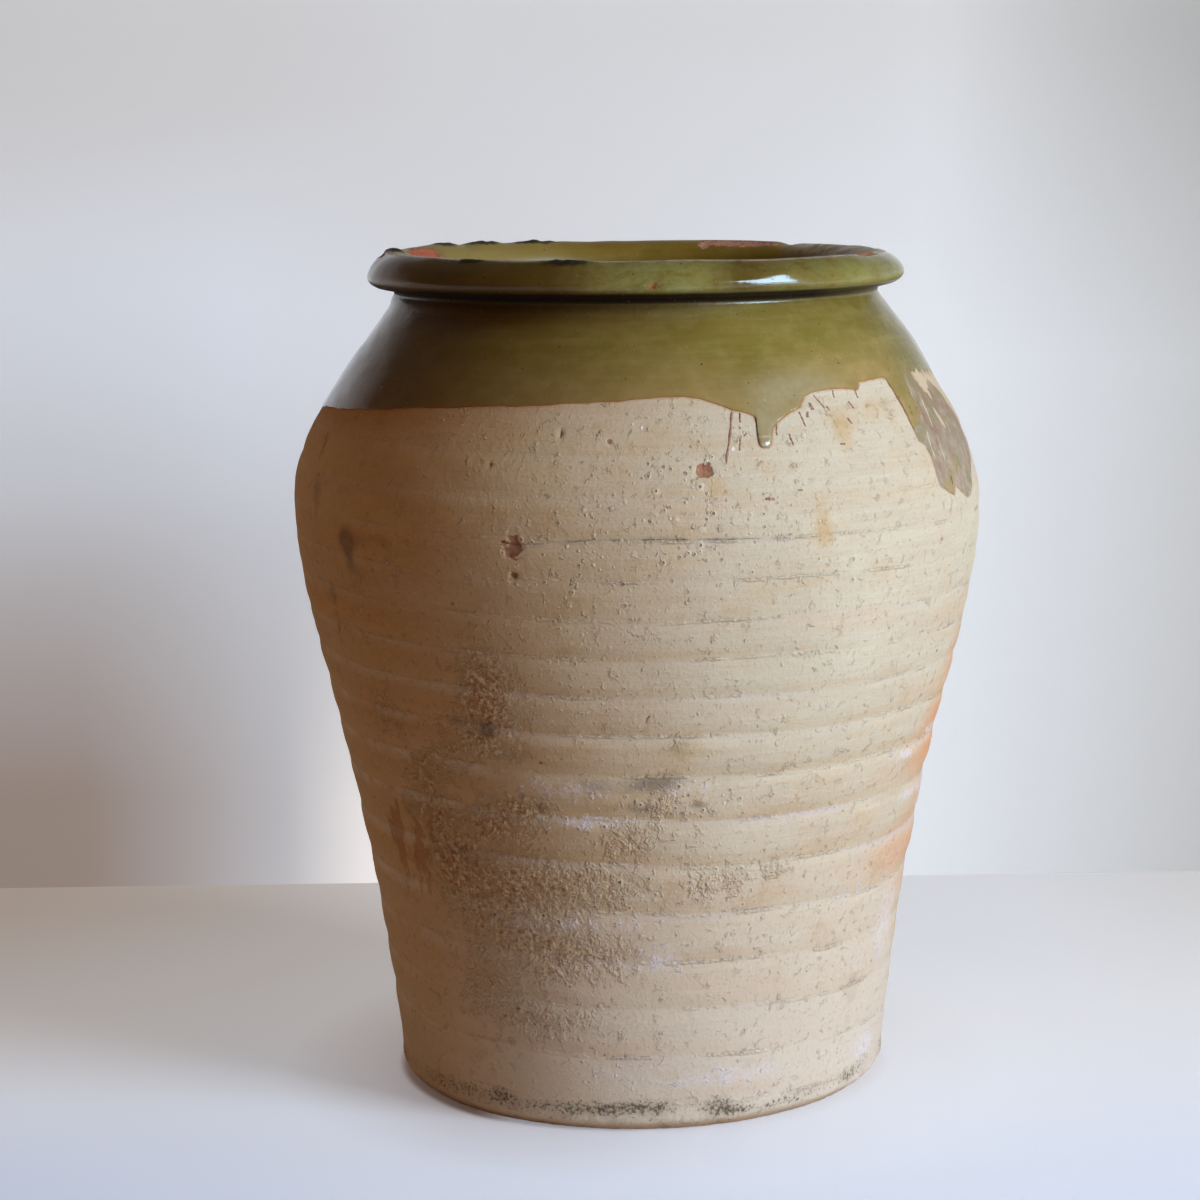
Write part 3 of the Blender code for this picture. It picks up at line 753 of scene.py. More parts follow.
    base = layColours(tree, mask, look, "buff", (
        ("cream", ("drift", 0.42, 0.62, 0.0, 0.55)),
        ("rose", ("level", 0.23, 0.1), ("blotch", 0.3, 0.7, 0.1, 0.6)),
        ("cream", ("streak", 0.5, 0.72, 0.0, 0.3)),
        ("ochre", ("streak", 0.48, 0.3, 0.0, 0.3)),
        ("stain", ("blotch", 0.52, 0.74, 0.0, 0.4)),
        ("pale", ("fine", 0.52, 0.7, 0.0, 0.22)),
        ("ochre", ("fine", 0.46, 0.3, 0.0, 0.22)),
        # Smoke and painted shade: the left side darker and browner
        ("smoked", "leftSide", ("softStreak", 0.3, 0.7, 0.78, 1.0), "smokeAndShadeReach"),
        ("khaki", ("across", -0.085, -0.15), ("level", 0.3, 0.12, 0.2, 0.8)),
        # Painted light: the left side paler and golden towards the shoulder
        ("golden", "leftSide", ("level", 0.27, 0.33, 0.0, 0.55)),
        # Painted light: paler towards the foot, less so on the far left, where the floor's light falls
        ("washed", ("level", 0.14, 0.03, 0.0, 0.9), ("across", -0.1, -0.02, 0.2, 1.0)),
        ("flame", "flashMask", 0.8),
        ("halo", "haloMask", 0.7),
        ("stain", "stainMask", 0.6),
        # Painted shade just above each groove, where the ring turns in, and a pale strip below it, partly
        # painted light where the ring faces up
        ("ochre", "shaded", "deep", 0.35),
        ("pale", "crest", "deep", 0.5),
        ("flaked", "wornSoft", 0.12),
        ("flaked", "wornMask", 0.25),
        ("rust", "wornCore", ("flake", 0.54, 0.42), 0.4),
        ("rusted", "crumbs", ("flake", 0.43, 0.36), 0.75),
        ("tawny", "crumbs", ("flake", 0.5, 0.58), 0.9),
        ("rusted", "rustMask", 0.6),
        ("lavender", "strip", "deep", 0.6),
        ("dust", "dusty", "deep", ("blotch", 0.42, 0.56), 0.5),
        ("pale", "ridge", ("flake", 0.46, 0.6, 0.0, 0.8)),
        ("dust", "ridge", ("flake", 0.45, 0.36, 0.0, 0.6)),
        ("dust", "hairline", 0.5),
        ("chalk", "bloomMask", 0.8),
        ("smoked", ("grog", 0.6, 0.72, 0.0, 0.4)),
        ("pale", ("grog", 0.38, 0.28, 0.0, 0.35)),
        ("dust", "crackDust"),
        ("soot", "smudgeMask", 0.6),
        ("outline", "outlineMask"),
        ("tan", ("level", 0.0015, 0.006, 0.7, 0.0)),
        ("moss", "growthSoft", 0.45),
        ("growth", "growthMask", 0.75),
        ("fresh", "breakMask"),
        ("freshDark", "breakMask", ("crumb", 0.42, 0.58), 0.45),
        ("pale", "rims", 0.6),
        ("rust", (ironRoom, 0.0, 0.06), 0.7),
        ("speck", "holes", 0.65),
        ("seam", "crackMask", 0.7),
        ("freshDark", "slitMask", 0.85),
        ("lime", "fleckMask"),
    ))
    tree.links.new(base, shader.inputs["Base Color"])
    shader.inputs["Roughness"].default_value = 0.88
    shader.inputs["Specular IOR Level"].default_value = 0.2
    addRelief(tree, mask, shader, (
        ("grog", 0.22), ("streak", 0.25), ("fine", 0.1), ("crumb", ("wornSoft", 0.0, 1.0, 0.35, 1.7)),
        ("flake", ("wornSoft", 0.0, 1.0, 0.15, 2.3)), ("ridge", "flake", 1.1), ("rims", 0.35),
        ("holes", -0.4), ("crackMask", -0.3), ("slitMask", -0.4), ("breakMask", -0.3), ("fleckMask", 0.2)))
    return finish


# Lead glaze: a glassy coat fired on the clay, olive from a little copper and iron, with painted shade: brown
# to black in the corner under the roll, where it is also thick, and dark brown on the left side. It is thin
# and pale near its edge. The eye sees a sharp gloss, brush-fine streaks, specks of kiln dust, tiny bubbles,
# beads of slag, chips down to the clay and a dragged, matt wash
def leadGlaze(name, look):
    finish, tree, shader, signals = newMaterial(name, (
        ("drift", (14.0, 14.0, 20.0), 3.0, 0.5), ("mottle", (85.0, 85.0, 110.0), 5.0, 0.65),
        ("crumb", (330.0, 330.0, 330.0), 3.0, 0.6), ("brush", (22.0, 22.0, 420.0), 4.0, 0.6),
        ("runs", (210.0, 210.0, 44.0), 5.0, 0.7), ("cloud", (110.0, 110.0, 190.0), 6.0, 0.75)),
        ("edge", "blister", "chip", "wash", "bare", "ruddy", "pool", "fold", "lip", "hollow", "dusted"))
    mask, frayed = maskMaker(tree, signals)
    for dots, scale, low, size in (("specks", 230.0, 0.62, 0.15), ("bubbles", 420.0, 0.45, 0.16),
                                   ("grains", 150.0, 0.5, 0.09)):
        room, _ = dotRoom(tree, mask, signals["place"], scale, low, size)
        signals[dots] = mask((room, 0.0, 0.05))
    for key, row in {
            "slag": ("blister", 0.3, 0.6, "crumb", 0.15), "chipMask": ("chip", 0.0, 0.1, "crumb", 0.3),
            "washed": ("wash", 0.35, 0.7, "runs", 0.25), "bared": ("bare", 0.35, 0.7, "runs", 0.3)}.items():
        signals[key] = frayed(*row)
    signals["dulled"] = largest(tree, mask, (
        [("across", 0.03, 0.048), ("across", 0.108, 0.086), ("across", 0.055, 0.075, 1.0, 0.45)],
        [("across", -0.015, -0.04), ("across", -0.115, -0.09)]))
    signals["milky"] = largest(tree, mask, ([("across", -0.02, -0.06)], [("across", 0.085, 0.11)]))
    for key, parts in {
            "corner": [("hollow", 0.62, 1.0), ("across", 0.085, 0.125, 1.0, 0.55)],
            "roll": [("level", 0.4042, 0.4065), look["veilShare"]],
            "onRoll": ["roll", ("across", -0.045, 0.0, 0.05, 1.0)],
            "washMask": ["washed", ("wash", 0.03, 0.2)],
            "bareMask": ["bared", ("bare", 0.03, 0.2)]}.items():
        signals[key] = mask(*parts)

    base = layColours(tree, mask, look, "deep", (
        ("mid", ("drift", 0.35, 0.65)),
        ("light", ("mottle", 0.45, 0.72, 0.0, 0.55)),
        ("light", ("brush", 0.5, 0.72, 0.0, 0.35)),
        ("deep", ("brush", 0.46, 0.3, 0.0, 0.35)),
        ("thin", ("edge", 0.026, 0.002), ("mottle", 0.3, 0.7, 0.45, 0.9)),
        # Painted shade: darker brown towards the left side
        ("smoked", ("across", 0.06, -0.11), look["smokeAndShadeShare"]),
        ("pool", "pool", ("crumb", 0.35, 0.6, 0.5, 1.0)),
        ("veil", "onRoll", ("cloud", 0.42, 0.62, 0.1, 0.8)),
        ("smoked", "onRoll", ("cloud", 0.44, 0.32, 0.0, 0.4)),
        ("dull", "roll", "dulled", ("cloud", 0.34, 0.6, 1.0, 0.8)),
        ("milk", "milky", look["milkShare"]),
        # Painted shade under the roll: browner towards the corner, and near black in it, where the glaze also
        # pooled thick
        ("shade", ("hollow", 0.0, 0.7), ("across", 0.04, -0.06, 0.22, 0.95)),
        ("corner", "corner", look["cornerShadeShare"]),
        ("dark", "specks", 0.7),
        ("bubble", "bubbles", ("pool", 0.0, 0.6, 0.25, 1.0)),
        ("light", "grains", 0.5),
        # Whitish folds on the rim, partly painted highlights, and painted highlights on the drip's bulb
        ("fold", "fold", ("mottle", 0.4, 0.54)),
        ("outline", ("edge", 0.0, 0.001, 0.8, 0.0), ("crumb", 0.3, 0.6, 0.3, 1.0)),
        ("wash", "washMask"),
        ("washBrown", "washMask", ("level", 0.328, 0.35, 0.0, 0.55)),
        ("washPale", "washMask", ("runs", 0.44, 0.64, 0.0, 0.75)),
        ("washBrown", "washMask", ("mottle", 0.48, 0.34, 0.0, 0.65)),
        ("washOlive", "washMask", ("mottle", 0.5, 0.6, 0.0, 0.7)),
        ("bareClay", "bareMask"),
        ("ruddy", "ruddy", ("mottle", 0.35, 0.6, 0.3, 1.0), 0.75),
        ("dark", "blister", ("level", 0.36, 0.34)),
        # The pale line along the crown: worn glaze and a painted highlight of its edge
        ("lip", "lip", ("mottle", 0.38, 0.55)),
        ("dark", "slag", ("crumb", 0.3, 0.7, 1.0, 0.75)),
        ("fresh", "chipMask"),
        ("freshPale", "chipMask", ("across", 0.0, 0.04), ("across", 0.12, 0.08)),
        ("freshDark", "chipMask", ("crumb", 0.52, 0.62, 0.0, 0.6)),
    ))
    tree.links.new(base, shader.inputs["Base Color"])
    signals["matt"] = largest(tree, mask, (
        ["chipMask"], ["washMask", 0.9], ["bareMask"], ["corner", 0.9], ["slag", 0.55], ["lip", 0.4],
        ["dusted", 0.95],
        [("hollow", 0.4, 0.62), ("across", 0.055, 0.025), ("across", -0.12, -0.09), 0.75],
        [("level", 0.4085, 0.4065), ("level", 0.4042, 0.4055), 0.9]))
    gloss = mask(("mottle", 0.3, 0.7, look["gloss"], look["gloss"] + 0.08))
    tree.links.new(wire(tree, "Mix", {0: signals["matt"], 2: gloss, 3: 0.8}, data_type="FLOAT"),
                   shader.inputs["Roughness"])
    tree.links.new(mask(("matt", 0.0, 1.0, look["shine"], 0.08)), shader.inputs["Specular IOR Level"])
    shader.inputs["IOR"].default_value = 1.5
    addRelief(tree, mask, shader, (("mottle", 0.1), ("crumb", ("matt", 0.0, 1.0, 0.06, 0.6)),
                                   ("specks", -0.12), ("bubbles", 0.05), ("brush", 0.03)))
    return finish


# Iron-rich glaze that trickled down the bare wall and soaked in: brown, half matt
def trickledGlaze():
    finish, tree, shader, signals = newMaterial("trickledGlaze")
    mask, _ = maskMaker(tree, signals)
    mottle = wire(tree, "TexNoise", {"Vector": signals["place"], "Scale": 500.0, "Detail": 3.0})
    base = layColours(tree, mask, {}, "#8E6450", (("#B08A74", (mottle, 0.4, 0.65)),))
    tree.links.new(base, shader.inputs["Base Color"])
    shader.inputs["Roughness"].default_value = 0.55
    bump = wire(tree, "Bump", {"Strength": 0.6, "Distance": 0.0003, "Height": mottle})
    tree.links.new(bump, shader.inputs["Normal"])
    return finish


olive = {
    "deep": "#7A6F30", "mid": "#8A7F3E", "light": "#A0965A", "thin": "#B29A66", "smoked": "#5E4014",
    "smokeAndShadeShare": 0.75, "pool": "#A8A386", "corner": "#1C0E03", "cornerShadeShare": 0.95, "dark": "#22221A",
    "dull": "#5C4A1C", "milk": "#8E8250", "milkShare": 0.0, "freshPale": "#A8744E",
    "veil": "#8C905A", "veilShare": 1.0, "shade": "#4E3410", "washOlive": "#8E8A64",
    "bubble": "#D6D0B4", "fold": "#C9C4B4", "outline": "#9A6A38", "wash": "#A09080", "washPale": "#BDB09A",
    "washBrown": "#927258", "bareClay": "#CFC0A4", "ruddy": "#9A6648", "lip": "#B9AC92", "fresh": "#A8744E",
    "freshDark": "#6E4030", "gloss": 0.06, "shine": 0.5,
}
# The lining's own colours and shares; the rest it has in common with the collar, or never shows
ochre = {
    "deep": "#7E6624", "mid": "#8E7830", "light": "#9A8846", "smoked": "#7A6628", "smokeAndShadeShare": 0.5,
    "milk": "#B0A672", "milkShare": 0.25, "veilShare": 0.0, "fresh": "#BC6C54", "freshPale": "#CC9C86",
    "freshDark": "#985040", "gloss": 0.36, "shine": 0.2,
}
clay = firedEarthenware()
oliveGlaze = leadGlaze("oliveLeadGlaze", olive)
ochreGlaze = leadGlaze("ochreLeadGlaze", {**olive, **ochre})
brownTrickle = trickledGlaze()
print("materials made")


# Clay pieces

# Floor slab: beaten disc with a worn lower edge, a ledge for the wall and a plug; its outside carries on
# the wall's
def makeFloorSlab(columns):
    plug = wallAt(0.0, pot["wall"])[0] - pot["slip"]
    under = [(0.02, 0.0), (0.05, 0.0), (0.08, 0.0), (0.105, 0.0), (0.1165, 0.0)]
    edge = np.array([(0.1186, 0.0001), (0.1198, 0.0006), (0.1207, 0.0014), (0.1217, 0.0024), (0.1230, 0.0036),
                     (0.1241, 0.0048), (0.1248, 0.0062), (0.1251, 0.0078), (0.1252, 0.0094), (0.1252, 0.0108),
                     (footEdge, pot["ledge"])])
    _, _, outR, outZ = wallAt(0.0)
    shape = (len(edge), len(columns))
    azimuth = np.broadcast_to(columns, shape)
    height = np.broadcast_to(edge[:, 1:], shape)
    radius = np.broadcast_to(edge[:, :1], shape)
    points = turned(radius, height, azimuth)
    relief = clayRelief(azimuth, height, radius) * smooth(0.0, 0.003, height)
    nibbled = 0.00035 * ripple(points, 0.011, 31) + 0.0002 * ripple(points, 0.004, 32)
    push = relief + nibbled * smooth(0.012, 0.004, height)
    edgeRows = (radius + push * outR, height + push * outZ * smooth(0.006, 0.012, height), azimuth,
                clayFields(azimuth, height, radius))
    inside = [(plug, pot["ledge"] - 0.0002), (plug, pot["floor"]), (0.09, pot["floor"]), (0.05, pot["floor"]),
              (0.02, pot["floor"])]
    rows, fields = stackRows([plainRows(under, columns), edgeRows, plainRows(inside, columns)])
    made = addPiece("floorSlab", rows, clay, fields, closed=False)
    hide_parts("floor_disc")


# Lower wall: thrown from the floor to the belly, with a tongue on its inner half
def makeLowerWall(columns):
    levels = np.concatenate([np.linspace(pot["ledge"], 0.2915, 208),
                             [0.2925, 0.2935, 0.2943, 0.2949, 0.2953, 0.2956, 0.2958, pot["bellyHeight"]]])
    shift = (seamHeight(columns) - pot["bellyHeight"])[None, :] * smooth(0.27, 0.296, levels)[:, None]
    outside = clayRows(levels[:, None] + shift, columns)
    tongue = uAtHeight(pot["bellyHeight"] + pot["lapHeight"])
    joint = [(pot["bellyRadius"] - pot["lapDepth"], pot["bellyHeight"] - 0.0030),
             wallAt(tongue, pot["lapDepth"])[:2]]
    inner = np.column_stack(wallAt(np.linspace(tongue, 0.0, 9), pot["wall"])[:2])
    foot = [(inner[-1, 0], pot["ledge"] + pot["slip"])]
    rest = plainRows(np.vstack([joint, inner, foot]), columns)
    rows, fields = stackRows([outside, rest])
    made = addPiece("lowerWall", rows, clay, fields)
    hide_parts("lower_wall")


# Hollow corner under the roll: its centre, the angle at which it ends and the u where it meets the shoulder
def cornerUnderRoll():
    radius = pot["cornerRadius"]
    meet = float(uAtHeight(rollBottom - radius, -radius))
    centreR, centreZ = (float(value) for value in wallAt(meet, -radius)[:2])
    meetR, meetZ = wallAt(meet)[:2]
    stop = math.degrees(math.atan2(meetZ - centreZ, meetR - centreR)) % 360.0
    return centreR, centreZ, stop, meet


# Upper wall: the shoulder, luted on at the belly, smooth under its glaze, with a tongue for the rim
def makeUpperWall(columns):
    centreR, centreZ, stop, meet = cornerUnderRoll()
    top = float(wallAt(meet)[1])
    levels = np.concatenate([
        [pot["bellyHeight"], 0.2962, 0.2964, 0.2967, 0.2971, 0.2977, 0.2985, 0.2995],
        np.linspace(0.3006, 0.366, 58), np.linspace(0.369, top, 12)])
    shift = (seamHeight(columns) - pot["bellyHeight"])[None, :] * smooth(0.322, 0.296, levels)[:, None]
    outside = clayRows(levels[:, None] + shift, columns)
    corner = np.column_stack(ellipse(centreR, centreZ, pot["cornerRadius"], pot["cornerRadius"],
                                     stop, 90.0, 5)[:2])
    mouth = float(wallAt(2.0, pot["wall"])[0])
    tongueR = mouth + pot["tongueWidth"]
    neck = [(tongueR, rollBottom), (tongueR, tongueTop), (mouth, tongueTop)]
    tongue = uAtHeight(pot["bellyHeight"] + pot["lapHeight"])
    inner = np.column_stack(wallAt(np.linspace(2.0, tongue, 9), pot["wall"])[:2])
    inner[-1, 1] += pot["slip"]
    lapR, lapZ = wallAt(tongue, pot["lapDepth"] - pot["slip"])[:2]
    lap = [(lapR, lapZ + pot["slip"]),
           (pot["bellyRadius"] - pot["lapDepth"] + pot["slip"], pot["bellyHeight"] - 0.0026)]
    rest = plainRows(np.vstack([corner[1:], neck, inner, lap]), columns)
    rows, fields = stackRows([outside, rest])
    made = addPiece("upperWall", rows, clay, fields)
    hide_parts("upper_wall")


# Rim

# Marks of the rim: azimuth, way from the crown (outwards positive) and half sizes in millimetres, and then
# a rise or depth in millimetres or, of the folds, a strength
rimMarks = {
    # beads of dark kiln slag in the glaze
    "blisters": metres((
        (-84, -1.2, 11, 5, 1.4), (-124, -1.2, 9.5, 4.6, 1), (-137.5, -1.2, 12, 5, 1.1),
        (-153.5, -1, 15, 4.8, 0.9), (-38, 2.4, 8.5, 2.4, 0.8), (-14.5, 3, 11, 3.4, 1.3),
    ), 4),
    # places where glaze and clay broke away
    "chips": metres((
        (-106.5, -8.4, 20.5, 5.6, 1.2), (-89, 8.5, 11, 5.8, 1), (-84, 4.5, 13, 2.6, 0.8),
        (151, -5.6, 23.5, 3.8, 0.7), (160.5, -6.6, 5, 4.8, 0.6), (65, 1.2, 11, 2, 1),
        (48.5, 2, 6.5, 0.6, 0.2), (3.3, 15.8, 2.2, 1.6, 1.1),
    ), 4),
    "dents": metres((
        (137.5, -1, 5, 8, 1.5), (100, 0, 14, 8, 0.4), (-130.5, -1, 5, 6, 0.8), (-145.5, -1, 5.5, 6, 0.5),
    ), 4),
    # folds in the glaze: whitish streaks, partly dried glaze and partly painted highlights
    "foldsAndGlints": metres((
        (110, -6, 30, 10, 1), (129, -3, 14, 6, 0.9), (84, -2, 12, 6, 0.8),
    )),
    # swells of the roll's outer face
    "swells": metres((
        (31.5, 11.2, 14, 2.6, 0.7), (-70, 19, 50, 3, 0.3),
    ), 4),
}


# How far inside the outline of each of the rim's chips a point lies, an oval bent by noise, and its depth
def rimChips(azimuth, way, points):
    bend = 0.18 * ripple(points, 0.006, 44)
    return [(oval(azimuth, way, crownRadius, *place) + bend, depth) for *place, depth in rimMarks["chips"]]


# How far the rim stands off its section at a way from the crown and an azimuth: hand-made waves,
# a shallow line round the roll, slag beads, chips and dents
def rimRelief(azimuth, way, height):
    points = turned(crownRadius + 0.0 * way, height, azimuth)
    relief = 0.0003 * ripple(points, 0.075, 41) + 0.00012 * ripple(points, 0.022, 42)
    line = np.exp(-((way - 0.013) / 0.0011) ** 2)
    relief = relief - 0.00014 * line * (0.6 + 0.4 * np.cos(np.radians(azimuth) + 0.8))
    swells, dents, beads = (fieldOf(rimMarks[kind], azimuth, way, crownRadius)
                            for kind in ("swells", "dents", "blisters"))
    relief = relief + swells - dents + beads * (1.0 + 0.5 * ripple(points, 0.006, 43))
    for inside, depth in rimChips(azimuth, way, points):
        relief = relief - depth * smooth(0.0, 0.4, inside)
    return relief


# Fields that the glazes' materials read, at rest: nothing near, nothing on it
def calmFields(shape):
    flat = np.zeros(shape)
    names = ("blister", "wash", "bare", "ruddy", "pool", "fold", "lip", "hollow", "dusted")
    return {**dict.fromkeys(names, flat), "chip": flat - 1.0, "edge": flat + 0.05}


# Fields for the rim's glaze: slag beads, chips, folds with painted highlights, the painted shade under the
# roll and the pale line along the crown, worn and partly a painted highlight of its edge
def rimFields(azimuth, way, height):
    points = turned(crownRadius + 0.0 * way, height, azimuth)
    fields = calmFields(way.shape)
    for *place, _ in rimMarks["blisters"]:
        fields["blister"] = np.maximum(fields["blister"], spot(azimuth, way, crownRadius, *place))
    for inside, _ in rimChips(azimuth, way, points):
        fields["chip"] = np.maximum(fields["chip"], inside)
    fields["fold"] = fieldOf(rimMarks["foldsAndGlints"], azimuth, way, crownRadius)
    fields["lip"] = np.exp(-((way - 0.0012) / 0.0010) ** 2)
    fields["hollow"] = smooth(0.0164, 0.0202, way)
    fields["dusted"] = np.exp(-((azimuth + 20.0) / 11.0) ** 4 - ((way + 0.0015) / 0.0045) ** 2)
    return fields


# Arc length along a section
def arcLength(radius, height):
    return np.concatenate([[0.0], np.cumsum(np.hypot(np.diff(radius), np.diff(height)))])


# Section of the roll from the crown out and under
def rollSection(steps):
    over = ellipse(crownRadius, rollWidest, rimRadius - crownRadius, clayTop - rollWidest, 90.0, 0.0, steps,
                   pot["rollFullness"])
    under = ellipse(turnRadius, rollWidest, rimRadius - turnRadius, rollWidest - rollBottom - pot["slip"],
                    0.0, -90.0, steps)
    section = np.column_stack([np.concatenate([a, b[1:]]) for a, b in zip(over, under)])
    return np.column_stack([section, arcLength(section[:, 0], section[:, 1])])


# Section of the lip from the mouth up to the crown
def lipSection(steps):
    start = tongueTop + pot["slip"]
    mouth = float(wallAt(2.0, pot["wall"])[0])
    section = np.column_stack(ellipse(crownRadius, start, crownRadius - mouth, clayTop - start, 180.0, 90.0,
                                      steps))
    way = arcLength(section[:, 0], section[:, 1])
    return np.column_stack([section, way - way[-1]])


# Rows of a section with the rim's relief and an offset outwards
def rimRows(section, columns, offset):
    shape = (len(section), len(columns))
    radius, height, outR, outZ, way = (np.broadcast_to(section[:, k:k + 1], shape) for k in range(5))
    azimuth = np.broadcast_to(columns, shape)
    push = rimRelief(azimuth, way, height) + offset
    return radius + push * outR, height + push * outZ, azimuth, rimFields(azimuth, way, height)


# Rolled rim: clay folded outwards, seated on the neck; it shows only where the glaze broke away
def makeRolledRim(columns):
    seat = float(wallAt(2.0, pot["wall"])[0]) + pot["tongueWidth"] + pot["slip"]
    under = plainRows([(seat, rollBottom + pot["slip"]), (seat, tongueTop + pot["slip"])], columns)
    parts = [rimRows(rollSection(16), columns, 0.0), under, rimRows(lipSection(14)[:-1], columns, 0.0)]
    rows, _ = stackRows(parts)
    made = addPiece("rolledRim", rows, clay)
    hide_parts("rolled_rim")


# Glazes

collar = {
    "columns": 620,
    "patches": ((45.0, 38.0, 4.0), (21.6, 2.2, 13.0), (55.4, 2.4, 12.0), (72.4, 1.2, 10.0), (44.9, 1.2, 8.0)),
    "gap": 0.0001,            # between clay and coat
    "roundEdge": 0.0011,      # width over which the coat rounds down at its edge
    "bead": 0.00012,          # rise of the bead just inside the edge
    "thin": 0.00035,          # thickness near the edge
    "full": 0.0006,           # thickness away from it
    # For the outside and the inside of the coat: its way from the clay, and rows of the roll and the shoulder
    "sides": (("out", pot["slip"] + pot["glaze"], 17, 56), ("in", pot["slip"], 8, 18)),
    # Pools of thick glaze, and painted highlights on the drip's bulb: azimuth, height, half sizes in
    # millimetres and strength
    "pools": metres(((30, 361, 24, 7.5, 0.7), (21.6, 342, 5, 9, 0.8), (24, 351, 10, 8, 0.5))),
    "foldsAndGlints": metres(((21, 337.2, 3, 0.7, 1.2), (21.3, 340.4, 2.6, 0.4, 1.1), (22.3, 338.6, 0.5, 2.2, 0.8))),
}


# Thickness of the glaze on the shoulder: it rounds down to nothing at its edge, swells to a bead just inside
# it, is thin where it was wiped, and stands highest in the drip
def coatThickness(azimuth, height, radius, away):
    inside = np.clip(-away, 0.0, 0.05)
    rounded = np.sqrt(1.0 - (1.0 - np.clip(inside / collar["roundEdge"], 0.0, 1.0)) ** 2)
    heavy = smooth(8.0, 18.0, azimuth) * (1.0 - smooth(46.0, 56.0, azimuth))
    bead = collar["bead"] * heavy * np.exp(-((inside - 0.0022) / 0.0016) ** 2)
    drip = 0.0006 * spot(azimuth, height, radius, 21.2, 0.3388, 0.0036, 0.0034)
    drip = drip + 0.0002 * spot(azimuth, height, radius, 22.0, 0.349, 0.0060, 0.0080)
    wiped = dragFields(azimuth, height, radius)
    left = 1.0 - 0.8 * wiped["wash"] - 0.15 * np.maximum(wiped["wash"], wiped["bare"])
    coat = collar["thin"] + (collar["full"] - collar["thin"]) * smooth(0.0, 0.02, inside)
    return rounded * (coat * left + bead + drip)


# The drag on the right, where a hand or a cloth wiped the wet glaze downwards. Its borders are azimuths at
# heights in millimetres; its strokes are azimuth and height of both ends, and half width in millimetres
drag = {
    "top": ((56.0, 362.4), (61.0, 362.6), (64.0, 363.5), (74.0, 361.2), (85.0, 359.0), (98.0, 357.0)),
    "olive": (
        (335.2, 52), (340.1, 57), (344.3, 59.4), (348.7, 60.2), (353, 59.8), (357.6, 60.6), (362.1, 61.4),
    ),
    "bareLeft": ((350.7, 68.2), (354.2, 66.0), (357.2, 65.4), (360.5, 65.0), (362.6, 64.8)),
    "bareRight": ((350.7, 68.2), (353.4, 69.2), (357.5, 72.2), (358.6, 74.0), (359.2, 99.0)),
    "fringe": (
        (324, 99), (326, 88), (332, 82.5), (340, 80.5), (350, 79), (358.1, 72.6), (359.2, 72),
    ),
    "pale": (
        (63.4, 350.9, 61.8, 337.5, 0.8), (66.6, 343.4, 67.3, 336.8, 1.7), (58.8, 336.9, 58.2, 325.1, 0.6),
        (64, 310.5, 64.4, 302.6, 1), (61.5, 362.1, 60.1, 352.5, 0.5), (62, 334, 61.6, 322, 0.5),
    ),
    "green": (
        (65.8, 321.5, 65.4, 316, 2.6), (62.4, 315, 61.6, 308.5, 3.6), (59.8, 311, 62, 307, 2.2),
    ),
    "ruddy": (
        (64.8, 362.6, 66, 354.2, 0.5), (66, 354.2, 68.4, 350.5, 0.9), (63, 362.2, 84, 358.2, 0.5),
        (60.8, 345.5, 60.2, 340, 1),
    ),
    "dark": (
        (62.2, 313.8, 62.4, 310.4, 0.5), (56.8, 348.1, 56.8, 347.8, 0.4), (56.4, 345.4, 56.4, 345.1, 0.3),
    ),
}


# Soft strokes on the wall: 1 on the line between their ends, falling to 0.37 at the half width
def strokes(name, azimuth, height, radius):
    total = np.zeros(height.shape)
    for startAz, startZ, stopAz, stopZ, half in drag[name]:
        stepX = math.radians(stopAz - startAz) * 160.0
        stepZ = stopZ - startZ
        awayX = np.radians(azimuth - startAz) * radius * 1000.0
        awayZ = height * 1000.0 - startZ
        t = np.clip((awayX * stepX + awayZ * stepZ) / (stepX**2 + stepZ**2), 0.0, 1.0)
        total = np.maximum(total, np.exp(-((awayX - t * stepX) ** 2 + (awayZ - t * stepZ) ** 2) / half**2))
    return total


# Millimetres to the right of one of the drag's borders
def rightOf(name, azimuth, height, radius):
    border = np.array(drag[name])
    return np.radians(azimuth - np.interp(height * 1000.0, border[:, 0], border[:, 1])) * radius * 1000.0


# Fields of the drag: wash where only a thin, matt film of glaze is left, bare where the clay shows
def dragFields(azimuth, height, radius):
    top = np.array(drag["top"])
    blur = 0.5 + 2.5 * smooth(72.0, 84.0, azimuth)
    below = smooth(-blur, blur, np.interp(azimuth, top[:, 0], top[:, 1]) - height * 1000.0)
    below = below * smooth(52.0, 53.5, azimuth) * (1.0 - smooth(90.0, 97.0, azimuth))
    wiped = below * smooth(-1.2, 1.2, rightOf("olive", azimuth, height, radius))
    patch = smooth(-0.7, 0.7, rightOf("bareLeft", azimuth, height, radius)) * smooth(
        0.7, -0.7, rightOf("bareRight", azimuth, height, radius)) * smooth(350.0, 351.2, height * 1000.0)
    fringe = smooth(-0.9, 0.9, rightOf("fringe", azimuth, height, radius))
    fringe = fringe * smooth(324.0, 326.0, height * 1000.0)
    bare = below * np.maximum(patch, fringe)
    bare = np.maximum(bare, 0.9 * wiped * strokes("pale", azimuth, height, radius))
    wash = wiped * (1.0 - 0.9 * strokes("green", azimuth, height, radius))
    return {"wash": wash, "bare": bare, "ruddy": wiped * strokes("ruddy", azimuth, height, radius),
            "blister": below * strokes("dark", azimuth, height, radius)}


# Painted shade in the corner under the roll, by height: browner towards it, and black in it, where the glaze
# also pooled
def hollowAt(height):
    return 0.7 * smooth(rollBottom - 0.0230, rollBottom - 0.0045, height) + 0.3 * smooth(
        rollBottom - 0.0040, rollBottom - 0.0024, height)


